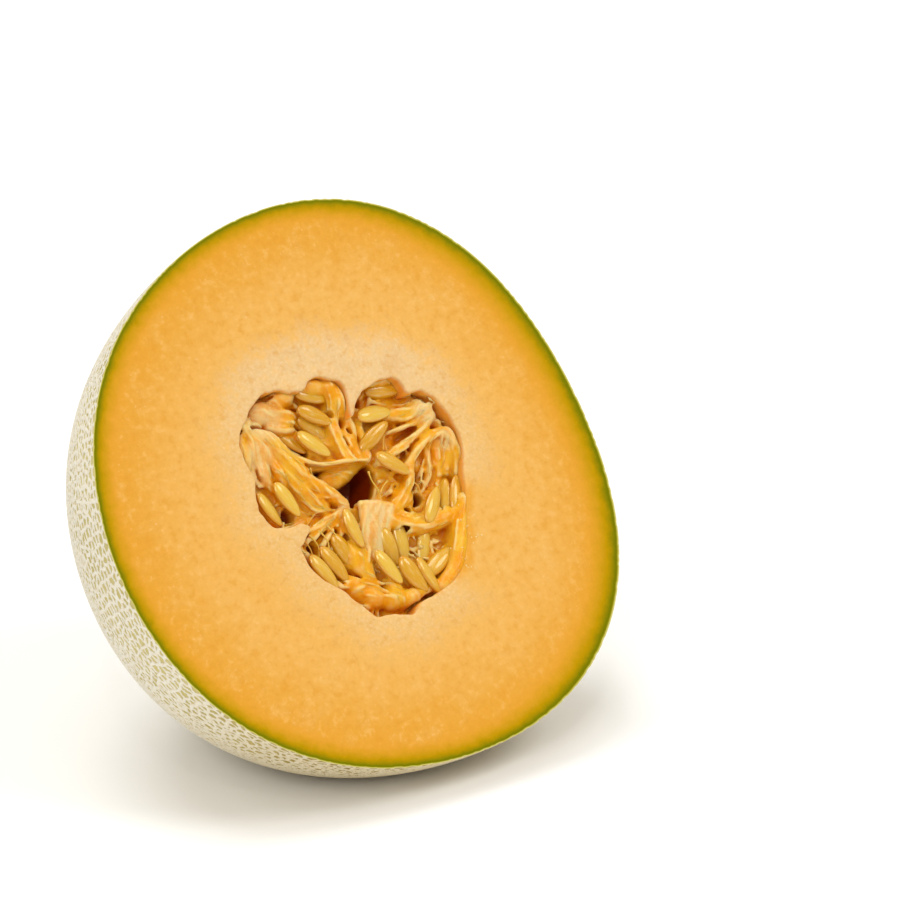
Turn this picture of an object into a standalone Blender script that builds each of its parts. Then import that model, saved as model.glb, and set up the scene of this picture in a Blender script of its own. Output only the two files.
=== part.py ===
# Cantaloupe melon, one half as cut across its middle, leaning back on its own ground spot.
# Metres, +Z up. The origin is the middle of the flat resting spot, and the cut face looks
# towards -Y and up. The stem scar is at the hidden pole behind.
import math
import random

import bmesh
import bpy
from mathutils import Vector

MM = 0.001

# Size and pose of the half
EQUATOR_RADIUS = 74.3 * MM
HALF_DEPTH = 71.0 * MM
PROFILE_POWER = 2.2
FACE_TILT = math.radians(34.2)
FACE_CENTRE = Vector((0.0, -5.0 * MM, 70.8 * MM))

# Out-of-round of the cut face: lobes around it, swing in metres, angle of the first crest
FACE_WAVES = (
    (2, 0.8 * MM, math.radians(82)),
    (3, 1.6 * MM, math.radians(-48)),
    (4, 0.9 * MM, math.radians(-37)),
)

# The heavy underside, fuller where the melon ripened on the ground
GROUND_BULGE = 6.0 * MM
GROUND_BULGE_BACK = 20.0 * MM
GROUND_BULGE_SPREAD = (19.0 * MM, 24.0 * MM)
GROUND_BULGE_TOP = 45.0 * MM

# Raised net on the rind, larger than life
NET_CELLS = 920
NET_SEED = 7
NET_JITTER = 0.27
NET_HEIGHT = 1.1 * MM
NET_SLOPE = 1.7 * MM
NET_STEEPEST = 0.55
NET_SHORTEST_EDGE = 1.6 * MM
CUT_TOLERANCE = 0.02 * MM

# Stem scar at the pole: a bare dish inside the net, with the stem's corky stub in its middle
SCAR_RING_CELLS = 9
SCAR_RING_RADIUS = 9.5 * MM
SCAR_OPEN_RADIUS = 11.4 * MM
SCAR_CLEAR_RADIUS = 15.5 * MM
# Rings as radius and rise above the rind
SCAR_RINGS = (
    (11.2 * MM, -1.0 * MM), (9.0 * MM, -1.0 * MM), (8.2 * MM, -0.5 * MM),
    (3.2 * MM, -1.0 * MM), (2.2 * MM, -0.8 * MM), (1.7 * MM, 0.3 * MM),
)
SCAR_STUB_RISE = 0.1 * MM

# Seed cavity: outline on the cut face as (across, up) from the face centre
CAVITY_OUTLINE = (
    (3.0, 17.5), (4.0, 25.0), (-2.5, 29.5), (-11.0, 27.0), (-20.5, 28.0),
    (-28.5, 20.5), (-31.0, 11.5), (-30.0, 6.0), (-31.3, -1.0), (-25.0, -7.0), (-19.5, -7.0),
    (-23.2, -13.0), (-19.5, -21.5), (-11.5, -30.5), (-2.0, -35.5), (6.5, -33.0),
    (15.0, -30.5), (21.5, -25.0), (26.0, -15.0), (29.5, -4.0), (33.0, 5.0), (29.5, 16.5),
    (22.0, 20.5), (16.0, 26.0), (9.0, 23.5),
)
CAVITY_STEPS = 2
CAVITY_MIDDLE = (0.0, -3.0)
# Depth below the face and width there, as a share of the outline
CAVITY_LEVELS = ((0.0, 1.0), (6.0, 1.05), (14.0, 1.0), (21.0, 0.84), (27.0, 0.58), (31.0, 0.25))
CAVITY_GAP = 0.35 * MM
# How far above the face the cutters for the cavity and for the masses start
CAVITY_OPENING = 3.0
MASS_OPENING = 4.0

# Central hollow between the three seed masses, and the clefts that part them
HOLLOW = ((-9.8, 6.2), (7.0, 5.4), (-2.7, -6.6))
CLEFT_TOP = (4.2, 30.0)
CLEFT_LEFT = (-36.0, -9.0)
CLEFT_RIGHT = (32.0, -19.0)
CLEFT_GAP = 0.25
# Blocks that part the masses: corners well outside the cavity, and their reach in depth
SECTOR_LEFT = ((-50.0, 10.0), (-30.0, 45.0))
SECTOR_RIGHT = ((30.0, 45.0), (50.0, 10.0))
SECTOR_LOW = ((30.0, -50.0), (-30.0, -50.0))
SECTOR_TOP = -6.0
SECTOR_FLOOR = 36.0

# Pulp bed under the seeds
BED_DEPTH = 7.5
BED_FLOOR = 33.0
BED_REACH = 40.0
BED_PITCH = 3.2
# Swell under a seed: half length, half width, gap below the seed's middle, and level share
BED_SWELL_LENGTH = 4.24
BED_SWELL_WIDTH = 3.4
BED_UNDER_SEED = 0.4
BED_PLATEAU = 0.7

# Seeds
SEED_LENGTH = 10.6
SEED_WIDTH = 4.7
SEED_THICKNESS = 2.5
SEED_SEGMENTS = 6
SEED_RINGS = 5
SEED_TAPER = 0.22
# Each seed as across, up, depth below the face, turn in the face and dip, in degrees
LEFT_SEEDS = (
    (-2.9, 26.0, 5.0, -16, 6), (-5.0, 20.3, 4.0, -33, 4), (-4.2, 17.6, 6.6, -42, 8),
    (-8.0, 13.4, 4.0, -44, 4), (-13.9, 16.8, 6.0, -53, -8), (-26.0, 0.4, 4.0, -67, 4),
    (-20.9, 1.2, 3.2, -65, 6), (-16.0, 5.4, 3.2, -62, 0),
)
RIGHT_SEEDS = (
    (17.0, 21.8, 5.2, -7, 0), (12.0, 17.3, 3.6, -1, 6), (10.6, 12.0, 4.4, 31, -8),
    (12.4, 4.2, 2.6, -39, 4), (19.1, -8.7, 3.0, 50, 6), (23.6, -7.6, 5.2, 69, 0), (26.6, -8.4, 3.8, 68, 4),
)
LOWER_SEEDS = (
    (4.1, -16.9, 5.0, -83, 8), (8.8, -16.6, 6.0, -94, 6), (0.3, -22.3, 2.8, -63, 4),
    (6.4, -25.8, 2.6, -65, 4), (10.5, -26.6, 2.6, -71, 4), (16.6, -22.6, 4.2, 30, 0),
    (14.1, -19.3, 6.4, -111, 8), (-5.8, -10.9, 2.8, -79, 4), (-17.0, -18.4, 3.2, -62, 4),
    (-11.8, -15.8, 4.2, -65, 4), (-8.6, -13.8, 5.2, -65, 0), (-4.9, -19.9, 4.6, -71, 0),
)

# Knobs of pulp at the outer ends of the bands: across, up, depth, half sizes, turn
LEFT_KNOBS = (
    (-18.6, 23.6, 4.6, (5.2, 3.8, 4.2), -10), (-25.0, 17.4, 4.6, (4.0, 4.6, 4.2), 20),
    (-24.4, 9.0, 5.6, (1.6, 4.0, 4.0), -25), (-20.4, 8.6, 5.4, (1.5, 3.8, 4.0), -25),
)
RIGHT_KNOBS = (
    (25.4, 14.4, 4.6, (4.2, 4.4, 4.2), 30), (27.4, 3.4, 5.4, (3.6, 4.8, 4.0), 10),
)
LOWER_KNOBS = (
    (-1.6, -29.4, 5.4, (5.6, 4.2, 4.4), -35), (6.0, -30.0, 5.4, (4.8, 3.2, 4.0), -10),
)

# Bands of pulp that stand across the face: centre line as across, up, depth; then width
LEFT_BANDS = (
    (((-24.0, 16.0, 2.2), (-19.0, 14.4, 1.6), (-14.4, 7.4, 1.6), (-9.4, 1.2, 1.8), (-5.4, -3.0, 2.2)), 3.4),
    (((-18.0, 13.6, 3.4), (-13.2, 9.0, 3.0), (-6.0, 7.4, 2.6), (0.8, 7.8, 2.6)), 1.9),
    (((2.4, 24.0, 3.0), (0.8, 17.0, 3.4), (0.2, 11.5, 3.2), (-0.6, 7.6, 3.0)), 2.4),
)
RIGHT_BANDS = (
    (((25.0, 12.4, 2.4), (20.8, 8.8, 2.0), (15.4, 6.6, 2.0), (8.6, 5.4, 3.0)), 2.4),
    (((25.6, 15.6, 2.4), (20.4, 14.6, 2.6), (15.4, 14.9, 3.0), (8.6, 15.0, 3.4)), 2.6),
    (((28.4, 7.4, 2.6), (22.4, 7.2, 2.0), (16.8, 2.6, 2.2), (12.6, -1.4, 2.4), (8.8, -6.2, 2.6)), 2.4),
    (((3.4, -6.6, 3.0), (8.4, -11.2, 2.4), (14.4, -13.6, 2.2), (21.0, -13.6, 2.4)), 2.4),
)
LOWER_BANDS = (
    (((-0.8, -7.6, 3.4), (-1.8, -13.0, 3.2), (-1.6, -18.6, 4.0), (-1.8, -26.0, 4.4)), 3.4),
    (((-3.4, -6.4, 3.2), (-9.6, -9.4, 3.2), (-15.8, -11.0, 3.2), (-20.4, -13.4, 3.8)), 2.2),
)
BAND_CROWN = 0.9
BAND_FOOT = 31.0

# Colours as linear values, and how rough each surface is
RIND_CREAM = (0.62, 0.52, 0.30, 1.0)
RIND_ROUGHNESS = 0.7
FLESH_ORANGE = (0.85, 0.38, 0.055, 1.0)
FLESH_ROUGHNESS = 0.35
PULP_ORANGE = (0.88, 0.42, 0.09, 1.0)
PULP_ROUGHNESS = 0.3

FACE_RIGHT = Vector((1.0, 0.0, 0.0))
FACE_UP = Vector((0.0, math.sin(FACE_TILT), math.cos(FACE_TILT)))
FACE_OUT = Vector((0.0, -math.cos(FACE_TILT), math.sin(FACE_TILT)))


def clear_scene():
    for thing in list(bpy.data.objects):
        bpy.data.objects.remove(thing, do_unlink=True)


def add_object(name, bm, materials):
    mesh = bpy.data.meshes.new(name)
    bmesh.ops.recalc_face_normals(bm, faces=bm.faces)
    bm.to_mesh(mesh)
    bm.free()
    for material in materials:
        mesh.materials.append(material)
    thing = bpy.data.objects.new(name, mesh)
    bpy.context.scene.collection.objects.link(thing)
    return thing


def plain_material(name, colour, roughness):
    material = bpy.data.materials.new(name)
    material.use_nodes = True
    shader = material.node_tree.nodes["Principled BSDF"]
    shader.inputs["Base Color"].default_value = colour
    shader.inputs["Roughness"].default_value = roughness
    shader.inputs["Metallic"].default_value = 0.0
    return material


def on_face(across, up, depth):
    """A place given in millimetres across and up the cut face and below it."""
    return FACE_CENTRE + (across * FACE_RIGHT + up * FACE_UP - depth * FACE_OUT) * MM


def face_radius(angle):
    """Radius of the cut face, nearly round, with a few soft lobes."""
    radius = EQUATOR_RADIUS
    for lobes, swing, crest in FACE_WAVES:
        radius += swing * math.cos(lobes * (angle - crest))
    return radius


def smooth_share(value):
    value = min(max(value, 0.0), 1.0)
    return value * value * (3.0 - 2.0 * value)


def settled(point):
    """Lower the underside behind the face centre, where the weight rests."""
    wide, long = GROUND_BULGE_SPREAD
    away = math.hypot(point.x / wide, (point.y - GROUND_BULGE_BACK) / long)
    low = smooth_share((GROUND_BULGE_TOP - point.z) / GROUND_BULGE_TOP)
    drop = GROUND_BULGE * math.exp(-away * away) * low
    return Vector((point.x, point.y, point.z - drop))


def rind_point(direction, rise=0.0):
    """The rind's surface along a unit direction given as across, up and out of the face."""
    level = math.hypot(direction.x, direction.y)
    angle = math.atan2(direction.y, direction.x)
    power = 2.0 / PROFILE_POWER
    wide = face_radius(angle) * level ** power
    deep = math.copysign(HALF_DEPTH * abs(direction.z) ** power, direction.z)
    spot = (FACE_RIGHT * math.cos(angle) + FACE_UP * math.sin(angle)) * wide + FACE_OUT * deep
    outward = FACE_RIGHT * direction.x + FACE_UP * direction.y + FACE_OUT * direction.z
    return settled(FACE_CENTRE + spot + outward * rise)


def net_centres():
    """Middles of the net's cells: an even spiral, shaken, with a ring round the stem scar."""
    draw = random.Random(NET_SEED)
    turn = math.pi * (3.0 - math.sqrt(5.0))
    pitch = math.sqrt(4.0 * math.pi / NET_CELLS)
    centres = []
    for index in range(NET_CELLS):
        out = 1.0 - (2.0 * index + 1.0) / NET_CELLS
        level = math.sqrt(1.0 - out * out)
        centre = Vector((level * math.cos(turn * index), level * math.sin(turn * index), out))
        shake = Vector((draw.uniform(-1, 1), draw.uniform(-1, 1), draw.uniform(-1, 1)))
        centre = (centre + shake * pitch * NET_JITTER).normalized()
        if math.hypot(centre.x, centre.y) > SCAR_CLEAR_RADIUS / EQUATOR_RADIUS or centre.z > 0.0:
            centres.append(centre)
    centres.append(Vector((0.0, 0.0, -1.0)))
    for index in range(SCAR_RING_CELLS):
        centres.append(scar_direction(SCAR_RING_RADIUS, 2.0 * math.pi * index / SCAR_RING_CELLS))
    return centres


def net_cells():
    """Corner directions of every cell between the net's centres, in order round each cell."""
    hull = bmesh.new()
    for centre in net_centres():
        hull.verts.new(centre)
    bmesh.ops.convex_hull(hull, input=hull.verts)
    bmesh.ops.recalc_face_normals(hull, faces=hull.faces)
    hull.faces.index_update()
    corners = [face.normal.copy() for face in hull.faces]
    merged = merge_close(corners)
    cells = []
    for vert in hull.verts:
        side = vert.co.orthogonal().normalized()
        other = vert.co.cross(side)
        ring = sorted(vert.link_faces, key=lambda face: math.atan2(
            corners[face.index].dot(other), corners[face.index].dot(side)))
        names = [merged[face.index] for face in ring]
        cell = [name for place, name in enumerate(names) if name != names[place - 1]]
        cells.append((vert.co.copy(), cell))
    hull.free()
    return corners, cells


def merge_close(corners):
    """Let corners nearer than the shortest edge share one corner, the first of them."""
    shortest = NET_SHORTEST_EDGE / EQUATOR_RADIUS
    kept = []
    merged = []
    for index, corner in enumerate(corners):
        near = [other for other in kept if (corners[other] - corner).length < shortest]
        merged.append(near[0] if near else index)
        if not near:
            kept.append(index)
    return merged


def build_rind():
    """The whole melon's closed rind: sharp raised edges, sloped sides and sunk cell floors."""
    corners, cells = net_cells()
    bm = bmesh.new()
    crest = {}
    scar_reach = math.sin(SCAR_OPEN_RADIUS / EQUATOR_RADIUS)
    for centre, cell in cells:
        if len(cell) < 3:
            continue
        for name in cell:
            if name not in crest:
                crest[name] = bm.verts.new(rind_point(corners[name].normalized()))
        if centre.z < 0.0 and math.hypot(centre.x, centre.y) < scar_reach:
            continue
        add_cell(bm, centre, [corners[name] for name in cell], [crest[name] for name in cell])
    fill_scar(bm)
    bmesh.ops.recalc_face_normals(bm, faces=bm.faces)
    return bm


def add_cell(bm, centre, corners, edge_verts):
    """One cell: its floor is the outline drawn in and sunk, and its sides climb to the net."""
    floor = []
    for corner in corners:
        span = (corner - centre).length * EQUATOR_RADIUS
        draw_in = min(NET_SLOPE / span, NET_STEEPEST)
        direction = corner.lerp(centre, draw_in).normalized()
        floor.append(bm.verts.new(rind_point(direction, -NET_HEIGHT)))
    for index, vert in enumerate(edge_verts):
        bm.faces.new((edge_verts[index - 1], vert, floor[index], floor[index - 1]))
    bm.faces.new(floor)


def scar_direction(radius, angle):
    """Direction of a place round the pole, at a radius along the rind."""
    reach = radius / EQUATOR_RADIUS
    level = math.sin(reach)
    return Vector((level * math.cos(angle), level * math.sin(angle), -math.cos(reach)))


def fill_scar(bm):
    """Close the net over the pole with rings round the stem's stub."""
    rim = {vert for edge in bm.edges if edge.is_boundary for vert in edge.verts}
    turned = []
    for vert in rim:
        spot = vert.co - FACE_CENTRE
        turned.append((math.atan2(spot.dot(FACE_UP), spot.dot(FACE_RIGHT)), vert))
    turned.sort(key=lambda pair: pair[0])
    angles = [angle for angle, vert in turned]
    outer = [vert for angle, vert in turned]
    for radius, rise in SCAR_RINGS:
        inner = [bm.verts.new(rind_point(scar_direction(radius, angle), rise)) for angle in angles]
        for index in range(len(inner)):
            bm.faces.new((outer[index - 1], outer[index], inner[index], inner[index - 1]))
        outer = inner
    middle = bm.verts.new(rind_point(scar_direction(0.0, 0.0), SCAR_STUB_RISE))
    for index in range(len(outer)):
        bm.faces.new((outer[index - 1], outer[index], middle))


def cut_flat(bm, place, direction):
    """Slice off what lies beyond a plane and close the cut with one flat face."""
    everything = bm.verts[:] + bm.edges[:] + bm.faces[:]
    cut = bmesh.ops.bisect_plane(bm, geom=everything, dist=CUT_TOLERANCE, plane_co=place, plane_no=direction,
                                 use_snap_center=True, clear_outer=True)
    rim = [piece for piece in cut["geom_cut"] if isinstance(piece, bmesh.types.BMEdge)]
    return bmesh.ops.edgeloop_fill(bm, edges=[edge for edge in rim if edge.is_boundary])["faces"]


def cavity_outline():
    """A smooth closed curve through the outline's points."""
    count = len(CAVITY_OUTLINE)
    curve = []
    for index in range(count):
        before, start, end, after = [Vector(CAVITY_OUTLINE[(index + step) % count]) for step in (-1, 0, 1, 2)]
        for step in range(CAVITY_STEPS):
            share = step / CAVITY_STEPS
            bend = (2.0 * start + (end - before) * share
                    + (2.0 * before - 5.0 * start + 4.0 * end - after) * share ** 2
                    + (3.0 * start - before - 3.0 * end + after) * share ** 3)
            curve.append(bend * 0.5)
    return curve


def drawn_in(curve, gap):
    """The closed curve moved inwards by a gap, square to itself."""
    area = sum(curve[index - 1].cross(point) for index, point in enumerate(curve))
    inward = math.copysign(gap, area)
    moved = []
    for index, point in enumerate(curve):
        along = (curve[(index + 1) % len(curve)] - curve[index - 1]).normalized()
        moved.append(point + Vector((-along.y, along.x)) * inward)
    return moved


def build_cavity(name, gap, rise):
    """The seed cavity as a solid that tapers into the melon, drawn in by a gap."""
    middle = Vector(CAVITY_MIDDLE)
    curve = drawn_in(cavity_outline(), gap / MM)
    levels = [(-rise, 1.0)] + [(depth, share) for depth, share in CAVITY_LEVELS if depth > 0.0]
    bm = bmesh.new()
    rings = []
    for depth, share in levels:
        spots = [middle + (point - middle) * share for point in curve]
        lift = gap / MM if depth > 0.0 else 0.0
        rings.append([bm.verts.new(on_face(spot.x, spot.y, depth - lift)) for spot in spots])
    for upper, lower in zip(rings, rings[1:]):
        for index in range(len(curve)):
            bm.faces.new((upper[index - 1], upper[index], lower[index], lower[index - 1]))
    bm.faces.new(rings[0])
    bm.faces.new(rings[-1])
    return add_object(name, bm, [])


def apply_boolean(target, operation, cutters):
    """Apply one Boolean of a collection to an object, then remove the collection's objects."""
    group = bpy.data.collections.new(target.name + "_group")
    bpy.context.scene.collection.children.link(group)
    for cutter in cutters:
        bpy.context.scene.collection.objects.unlink(cutter)
        group.objects.link(cutter)
    step = target.modifiers.new("join", "BOOLEAN")
    step.operation = operation
    step.operand_type = "COLLECTION"
    step.collection = group
    step.solver = "EXACT"
    bpy.context.view_layer.update()
    graph = bpy.context.evaluated_depsgraph_get()
    result = bpy.data.meshes.new_from_object(target.evaluated_get(graph))
    target.modifiers.clear()
    target.data = result
    for cutter in list(group.objects):
        bpy.data.objects.remove(cutter, do_unlink=True)
    bpy.data.collections.remove(group)


def build_melon_half():
    """Rind and flesh as one grown piece, cut across, with the seed cavity opened."""
    rind = plain_material("rind", RIND_CREAM, RIND_ROUGHNESS)
    flesh = plain_material("flesh", FLESH_ORANGE, FLESH_ROUGHNESS)
    bm = build_rind()
    cut = cut_flat(bm, FACE_CENTRE, FACE_OUT)
    cut_flat(bm, Vector((0.0, 0.0, 0.0)), Vector((0.0, 0.0, -1.0)))
    for face in cut:
        if face.is_valid:
            face.material_index = 1
    half = add_object("melon_half", bm, [rind, flesh])
    cavity = build_cavity("cavity", 0.0, CAVITY_OPENING)
    cavity.data.materials.append(flesh)
    apply_boolean(half, "DIFFERENCE", [cavity])
    return half


def add_seed(name, across, up, depth, turn, dip):
    """A flat pointed seed with few sides."""
    bm = bmesh.new()
    bmesh.ops.create_uvsphere(bm, u_segments=SEED_SEGMENTS, v_segments=SEED_RINGS, radius=0.5)
    swing = math.radians(turn)
    sink = math.radians(dip)
    for vert in bm.verts:
        along, side, thick = vert.co.z, vert.co.x, vert.co.y
        side *= (1.0 - SEED_TAPER * 2.0 * along) * SEED_WIDTH
        along *= SEED_LENGTH
        thick *= SEED_THICKNESS
        level = along * math.cos(sink) - thick * math.sin(sink)
        below = along * math.sin(sink) + thick * math.cos(sink)
        vert.co = on_face(across + level * math.cos(swing) - side * math.sin(swing),
                          up + level * math.sin(swing) + side * math.cos(swing), depth + below)
    return add_object(name, bm, [])


def add_knob(name, across, up, depth, sizes, turn):
    """A rounded lump of pulp."""
    bm = bmesh.new()
    bmesh.ops.create_icosphere(bm, subdivisions=2, radius=1.0)
    swing = math.radians(turn)
    for vert in bm.verts:
        along, side, below = vert.co.x * sizes[0], vert.co.y * sizes[1], vert.co.z * sizes[2]
        vert.co = on_face(across + along * math.cos(swing) - side * math.sin(swing),
                          up + along * math.sin(swing) + side * math.cos(swing), depth + below)
    return add_object(name, bm, [])


def add_band(name, line, width):
    """A standing band of pulp: a crowned top along its line, and straight sides into the bed."""
    bm = bmesh.new()
    rows = []
    for index, (across, up, depth) in enumerate(line):
        start, end = line[max(index - 1, 0)], line[min(index + 1, len(line) - 1)]
        along = Vector((end[0] - start[0], end[1] - start[1])).normalized()
        side = Vector((-along.y, along.x)) * width / 2.0
        row = [on_face(across + side.x, up + side.y, depth + BAND_CROWN), on_face(across, up, depth),
               on_face(across - side.x, up - side.y, depth + BAND_CROWN),
               on_face(across - side.x, up - side.y, BAND_FOOT), on_face(across + side.x, up + side.y, BAND_FOOT)]
        rows.append([bm.verts.new(spot) for spot in row])
    for first, second in zip(rows, rows[1:]):
        for index in range(len(first)):
            bm.faces.new((first[index - 1], first[index], second[index], second[index - 1]))
    bm.faces.new(rows[0])
    bm.faces.new(rows[-1])
    return add_object(name, bm, [])


def bed_depth(across, up, seeds):
    """Depth of the pulp bed, which swells up under each seed."""
    depth = BED_DEPTH
    for seed_across, seed_up, seed_depth, turn, _ in seeds:
        swing = math.radians(turn)
        along = (across - seed_across) * math.cos(swing) + (up - seed_up) * math.sin(swing)
        side = (up - seed_up) * math.cos(swing) - (across - seed_across) * math.sin(swing)
        away = max(math.hypot(along / BED_SWELL_LENGTH, side / BED_SWELL_WIDTH) - BED_PLATEAU, 0.0)
        lift = (BED_DEPTH - seed_depth - BED_UNDER_SEED) * math.exp(-away * away)
        depth = min(depth, BED_DEPTH - lift)
    return depth


def add_bed(name, seeds):
    """The pulp bed: a waved top over the whole cavity, with straight sides and a flat floor."""
    count = int(2.0 * BED_REACH / BED_PITCH)
    bm = bmesh.new()
    bmesh.ops.create_grid(bm, x_segments=count, y_segments=count, size=BED_REACH)
    sides = bmesh.ops.extrude_face_region(bm, geom=bm.faces[:])
    floor = {piece for piece in sides["geom"] if isinstance(piece, bmesh.types.BMVert)}
    for vert in bm.verts:
        across, up = vert.co.x, vert.co.y
        depth = BED_FLOOR if vert in floor else bed_depth(across, up, seeds)
        vert.co = on_face(across, up, depth)
    return add_object(name, bm, [])


def add_sector(name, corners):
    """A straight block through the cavity, which keeps one seed mass apart from the others."""
    bm = bmesh.new()
    tops = [bm.verts.new(on_face(across, up, SECTOR_TOP)) for across, up in corners]
    floors = [bm.verts.new(on_face(across, up, SECTOR_FLOOR)) for across, up in corners]
    for index in range(len(corners)):
        bm.faces.new((tops[index - 1], tops[index], floors[index], floors[index - 1]))
    bm.faces.new(tops)
    bm.faces.new(floors)
    return add_object(name, bm, [])


def spaced(corners):
    """Draw a sector's outline in, so that a gap stays between two seed masses."""
    return [tuple(spot) for spot in drawn_in([Vector(corner) for corner in corners], CLEFT_GAP)]


def build_seed_mass(name, sector, seeds, knobs, bands):
    """One seed mass: bed, standing bands, knobs and seeds fused, trimmed to its part of the cavity."""
    pulp = plain_material("pulp_" + name, PULP_ORANGE, PULP_ROUGHNESS)
    mass = add_bed(name, seeds)
    pieces = []
    for index, seed in enumerate(seeds):
        pieces.append(add_seed("seed_%d" % index, *seed))
    for index, knob in enumerate(knobs):
        pieces.append(add_knob("knob_%d" % index, *knob))
    for index, (line, width) in enumerate(bands):
        pieces.append(add_band("band_%d" % index, line, width))
    apply_boolean(mass, "UNION", pieces)
    apply_boolean(mass, "INTERSECT", [build_cavity("room", CAVITY_GAP, MASS_OPENING)])
    apply_boolean(mass, "INTERSECT", [add_sector("sector", spaced(sector))])
    mass.data.materials.clear()
    mass.data.materials.append(pulp)
    return mass


def main():
    clear_scene()
    build_melon_half()
    top_left, top_right, bottom = HOLLOW
    left_sector = (CLEFT_TOP, top_right, top_left, bottom, CLEFT_LEFT, *SECTOR_LEFT)
    right_sector = (CLEFT_TOP, *SECTOR_RIGHT, CLEFT_RIGHT, bottom, top_right)
    lower_sector = (CLEFT_LEFT, bottom, CLEFT_RIGHT, *SECTOR_LOW)
    build_seed_mass("seed_mass_left", left_sector, LEFT_SEEDS, LEFT_KNOBS, LEFT_BANDS)
    build_seed_mass("seed_mass_right", right_sector, RIGHT_SEEDS, RIGHT_KNOBS, RIGHT_BANDS)
    build_seed_mass("seed_mass_lower", lower_sector, LOWER_SEEDS, LOWER_KNOBS, LOWER_BANDS)


main()
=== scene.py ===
# Looks of the cantaloupe melon half: netted rind, cut flesh, seed pulp and seeds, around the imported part.
# Lengths are in millimetres and become metres where a mesh is made. The cut face has its own
# coordinates: across (to its right), up (along it) and depth (into the melon), from its centre.
import math

import bmesh
import bpy
import numpy as np
from mathutils import Matrix, Vector
from mathutils.geometry import delaunay_2d_cdt


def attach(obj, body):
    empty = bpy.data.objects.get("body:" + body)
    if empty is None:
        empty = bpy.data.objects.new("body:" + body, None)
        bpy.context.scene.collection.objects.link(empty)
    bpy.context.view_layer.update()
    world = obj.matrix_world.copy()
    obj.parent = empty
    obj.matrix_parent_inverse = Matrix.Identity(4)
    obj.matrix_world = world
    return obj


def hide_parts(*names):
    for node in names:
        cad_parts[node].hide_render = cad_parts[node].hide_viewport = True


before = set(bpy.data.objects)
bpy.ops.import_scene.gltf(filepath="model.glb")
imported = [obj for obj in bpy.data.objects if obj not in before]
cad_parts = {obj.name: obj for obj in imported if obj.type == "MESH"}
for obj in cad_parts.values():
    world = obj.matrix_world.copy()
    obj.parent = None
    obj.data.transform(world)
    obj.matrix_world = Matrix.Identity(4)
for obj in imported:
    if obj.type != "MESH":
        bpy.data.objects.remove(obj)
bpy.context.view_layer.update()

MM = 0.001
# Seeds of the random draws
DRAWS = {"face": 11, "pulp": 23, "filaments": 31, "seeds": 5, "juice": 47}

# Size and pose of the half, as in the part
EQUATOR_RADIUS = 74.3
HALF_DEPTH = 71.0
PROFILE_POWER = 2.2
PROFILE_STEPS = 4001
FACE_TILT = math.radians(34.2)
FACE_CENTRE = np.array((0.0, -5.0, 70.8))
FACE_WAVES = ((2, 0.8, math.radians(82)), (3, 1.6, math.radians(-48)), (4, 0.9, math.radians(-37)))
GROUND_BULGE = 6.0
GROUND_BULGE_BACK = 20.0
GROUND_BULGE_SPREAD = (19.0, 24.0)
GROUND_BULGE_TOP = 45.0

FACE_RIGHT = np.array((1.0, 0.0, 0.0))
FACE_UP = np.array((0.0, math.sin(FACE_TILT), math.cos(FACE_TILT)))
FACE_OUT = np.array((0.0, -math.cos(FACE_TILT), math.sin(FACE_TILT)))

# Rind
RIND_GRID = 460
NET_PITCH = 1.9
NET_RANDOMNESS = 0.9
NET_ROUND = 73.0
NET_SIDE_SHARE = 0.72
NET_SIDE_END = 56.0
NET_POLE_DRAWN_IN = 8.0
NET_HALF_WIDTHS = (0.33, 0.43)
NET_UNEVEN_PITCH = 11.0
NET_SOFTNESS = 0.16
NET_WARP = 0.8
NET_WARP_PITCH = 4.0
NET_RELIEF = 0.4
NET_CREST = 0.12
NET_RIM_SHARE = 0.35
# Painted shade on the rind's underside, darker and yellower towards the ground: on its skin, and on skin and
# net
UNDER_SKIN_SHADE = (0.7, 0.62, 0.45, 1.0)
UNDER_WHOLE_SHADE = (0.85, 0.77, 0.57, 1.0)

# Stem scar: where the net gives way to it, and the cracks that run from its core to some radius
SCAR_BARE = (10.5, 21.0)
SCAR_CRACK_TURN = 3.5
SCAR_CRACK_SWING = 0.6
SCAR_CRACK_BEND = 0.16
SCAR_CRACK_REACH = (1.6, 8.6)
# Steps of the scar's relief: rise, radius where it starts and how wide it is
SCAR_STEPS = ((-0.9, 11.5, 4.5), (0.9, 2.6, 1.2), (-0.7, 0.9, 0.8))
# Its raised collar and its folds: rise, radius and spread
SCAR_COLLAR = (0.25, 7.6, 0.8)
SCAR_FOLDS = (0.22, 11.0, 2.0)
# Corky rings round the scar: radius, how oval, turn of the oval, half width, and how broken
SCAR_RINGS = (
    (11.3, 0.5, 0.4, 0.22, 0.5), (12.7, 0.8, 1.9, 0.3, 0.34), (14.3, 0.7, 2.8, 0.34, 0.2),
    (15.9, 0.9, 0.9, 0.34, 0.3), (17.8, 1.1, 2.3, 0.32, 0.36), (19.8, 1.2, 0.2, 0.3, 0.45),
    (22.0, 1.4, 1.4, 0.28, 0.52),
)
SCAR_RING_SWAY = 3.4
SCAR_RING_EDGE = 0.22

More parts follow.
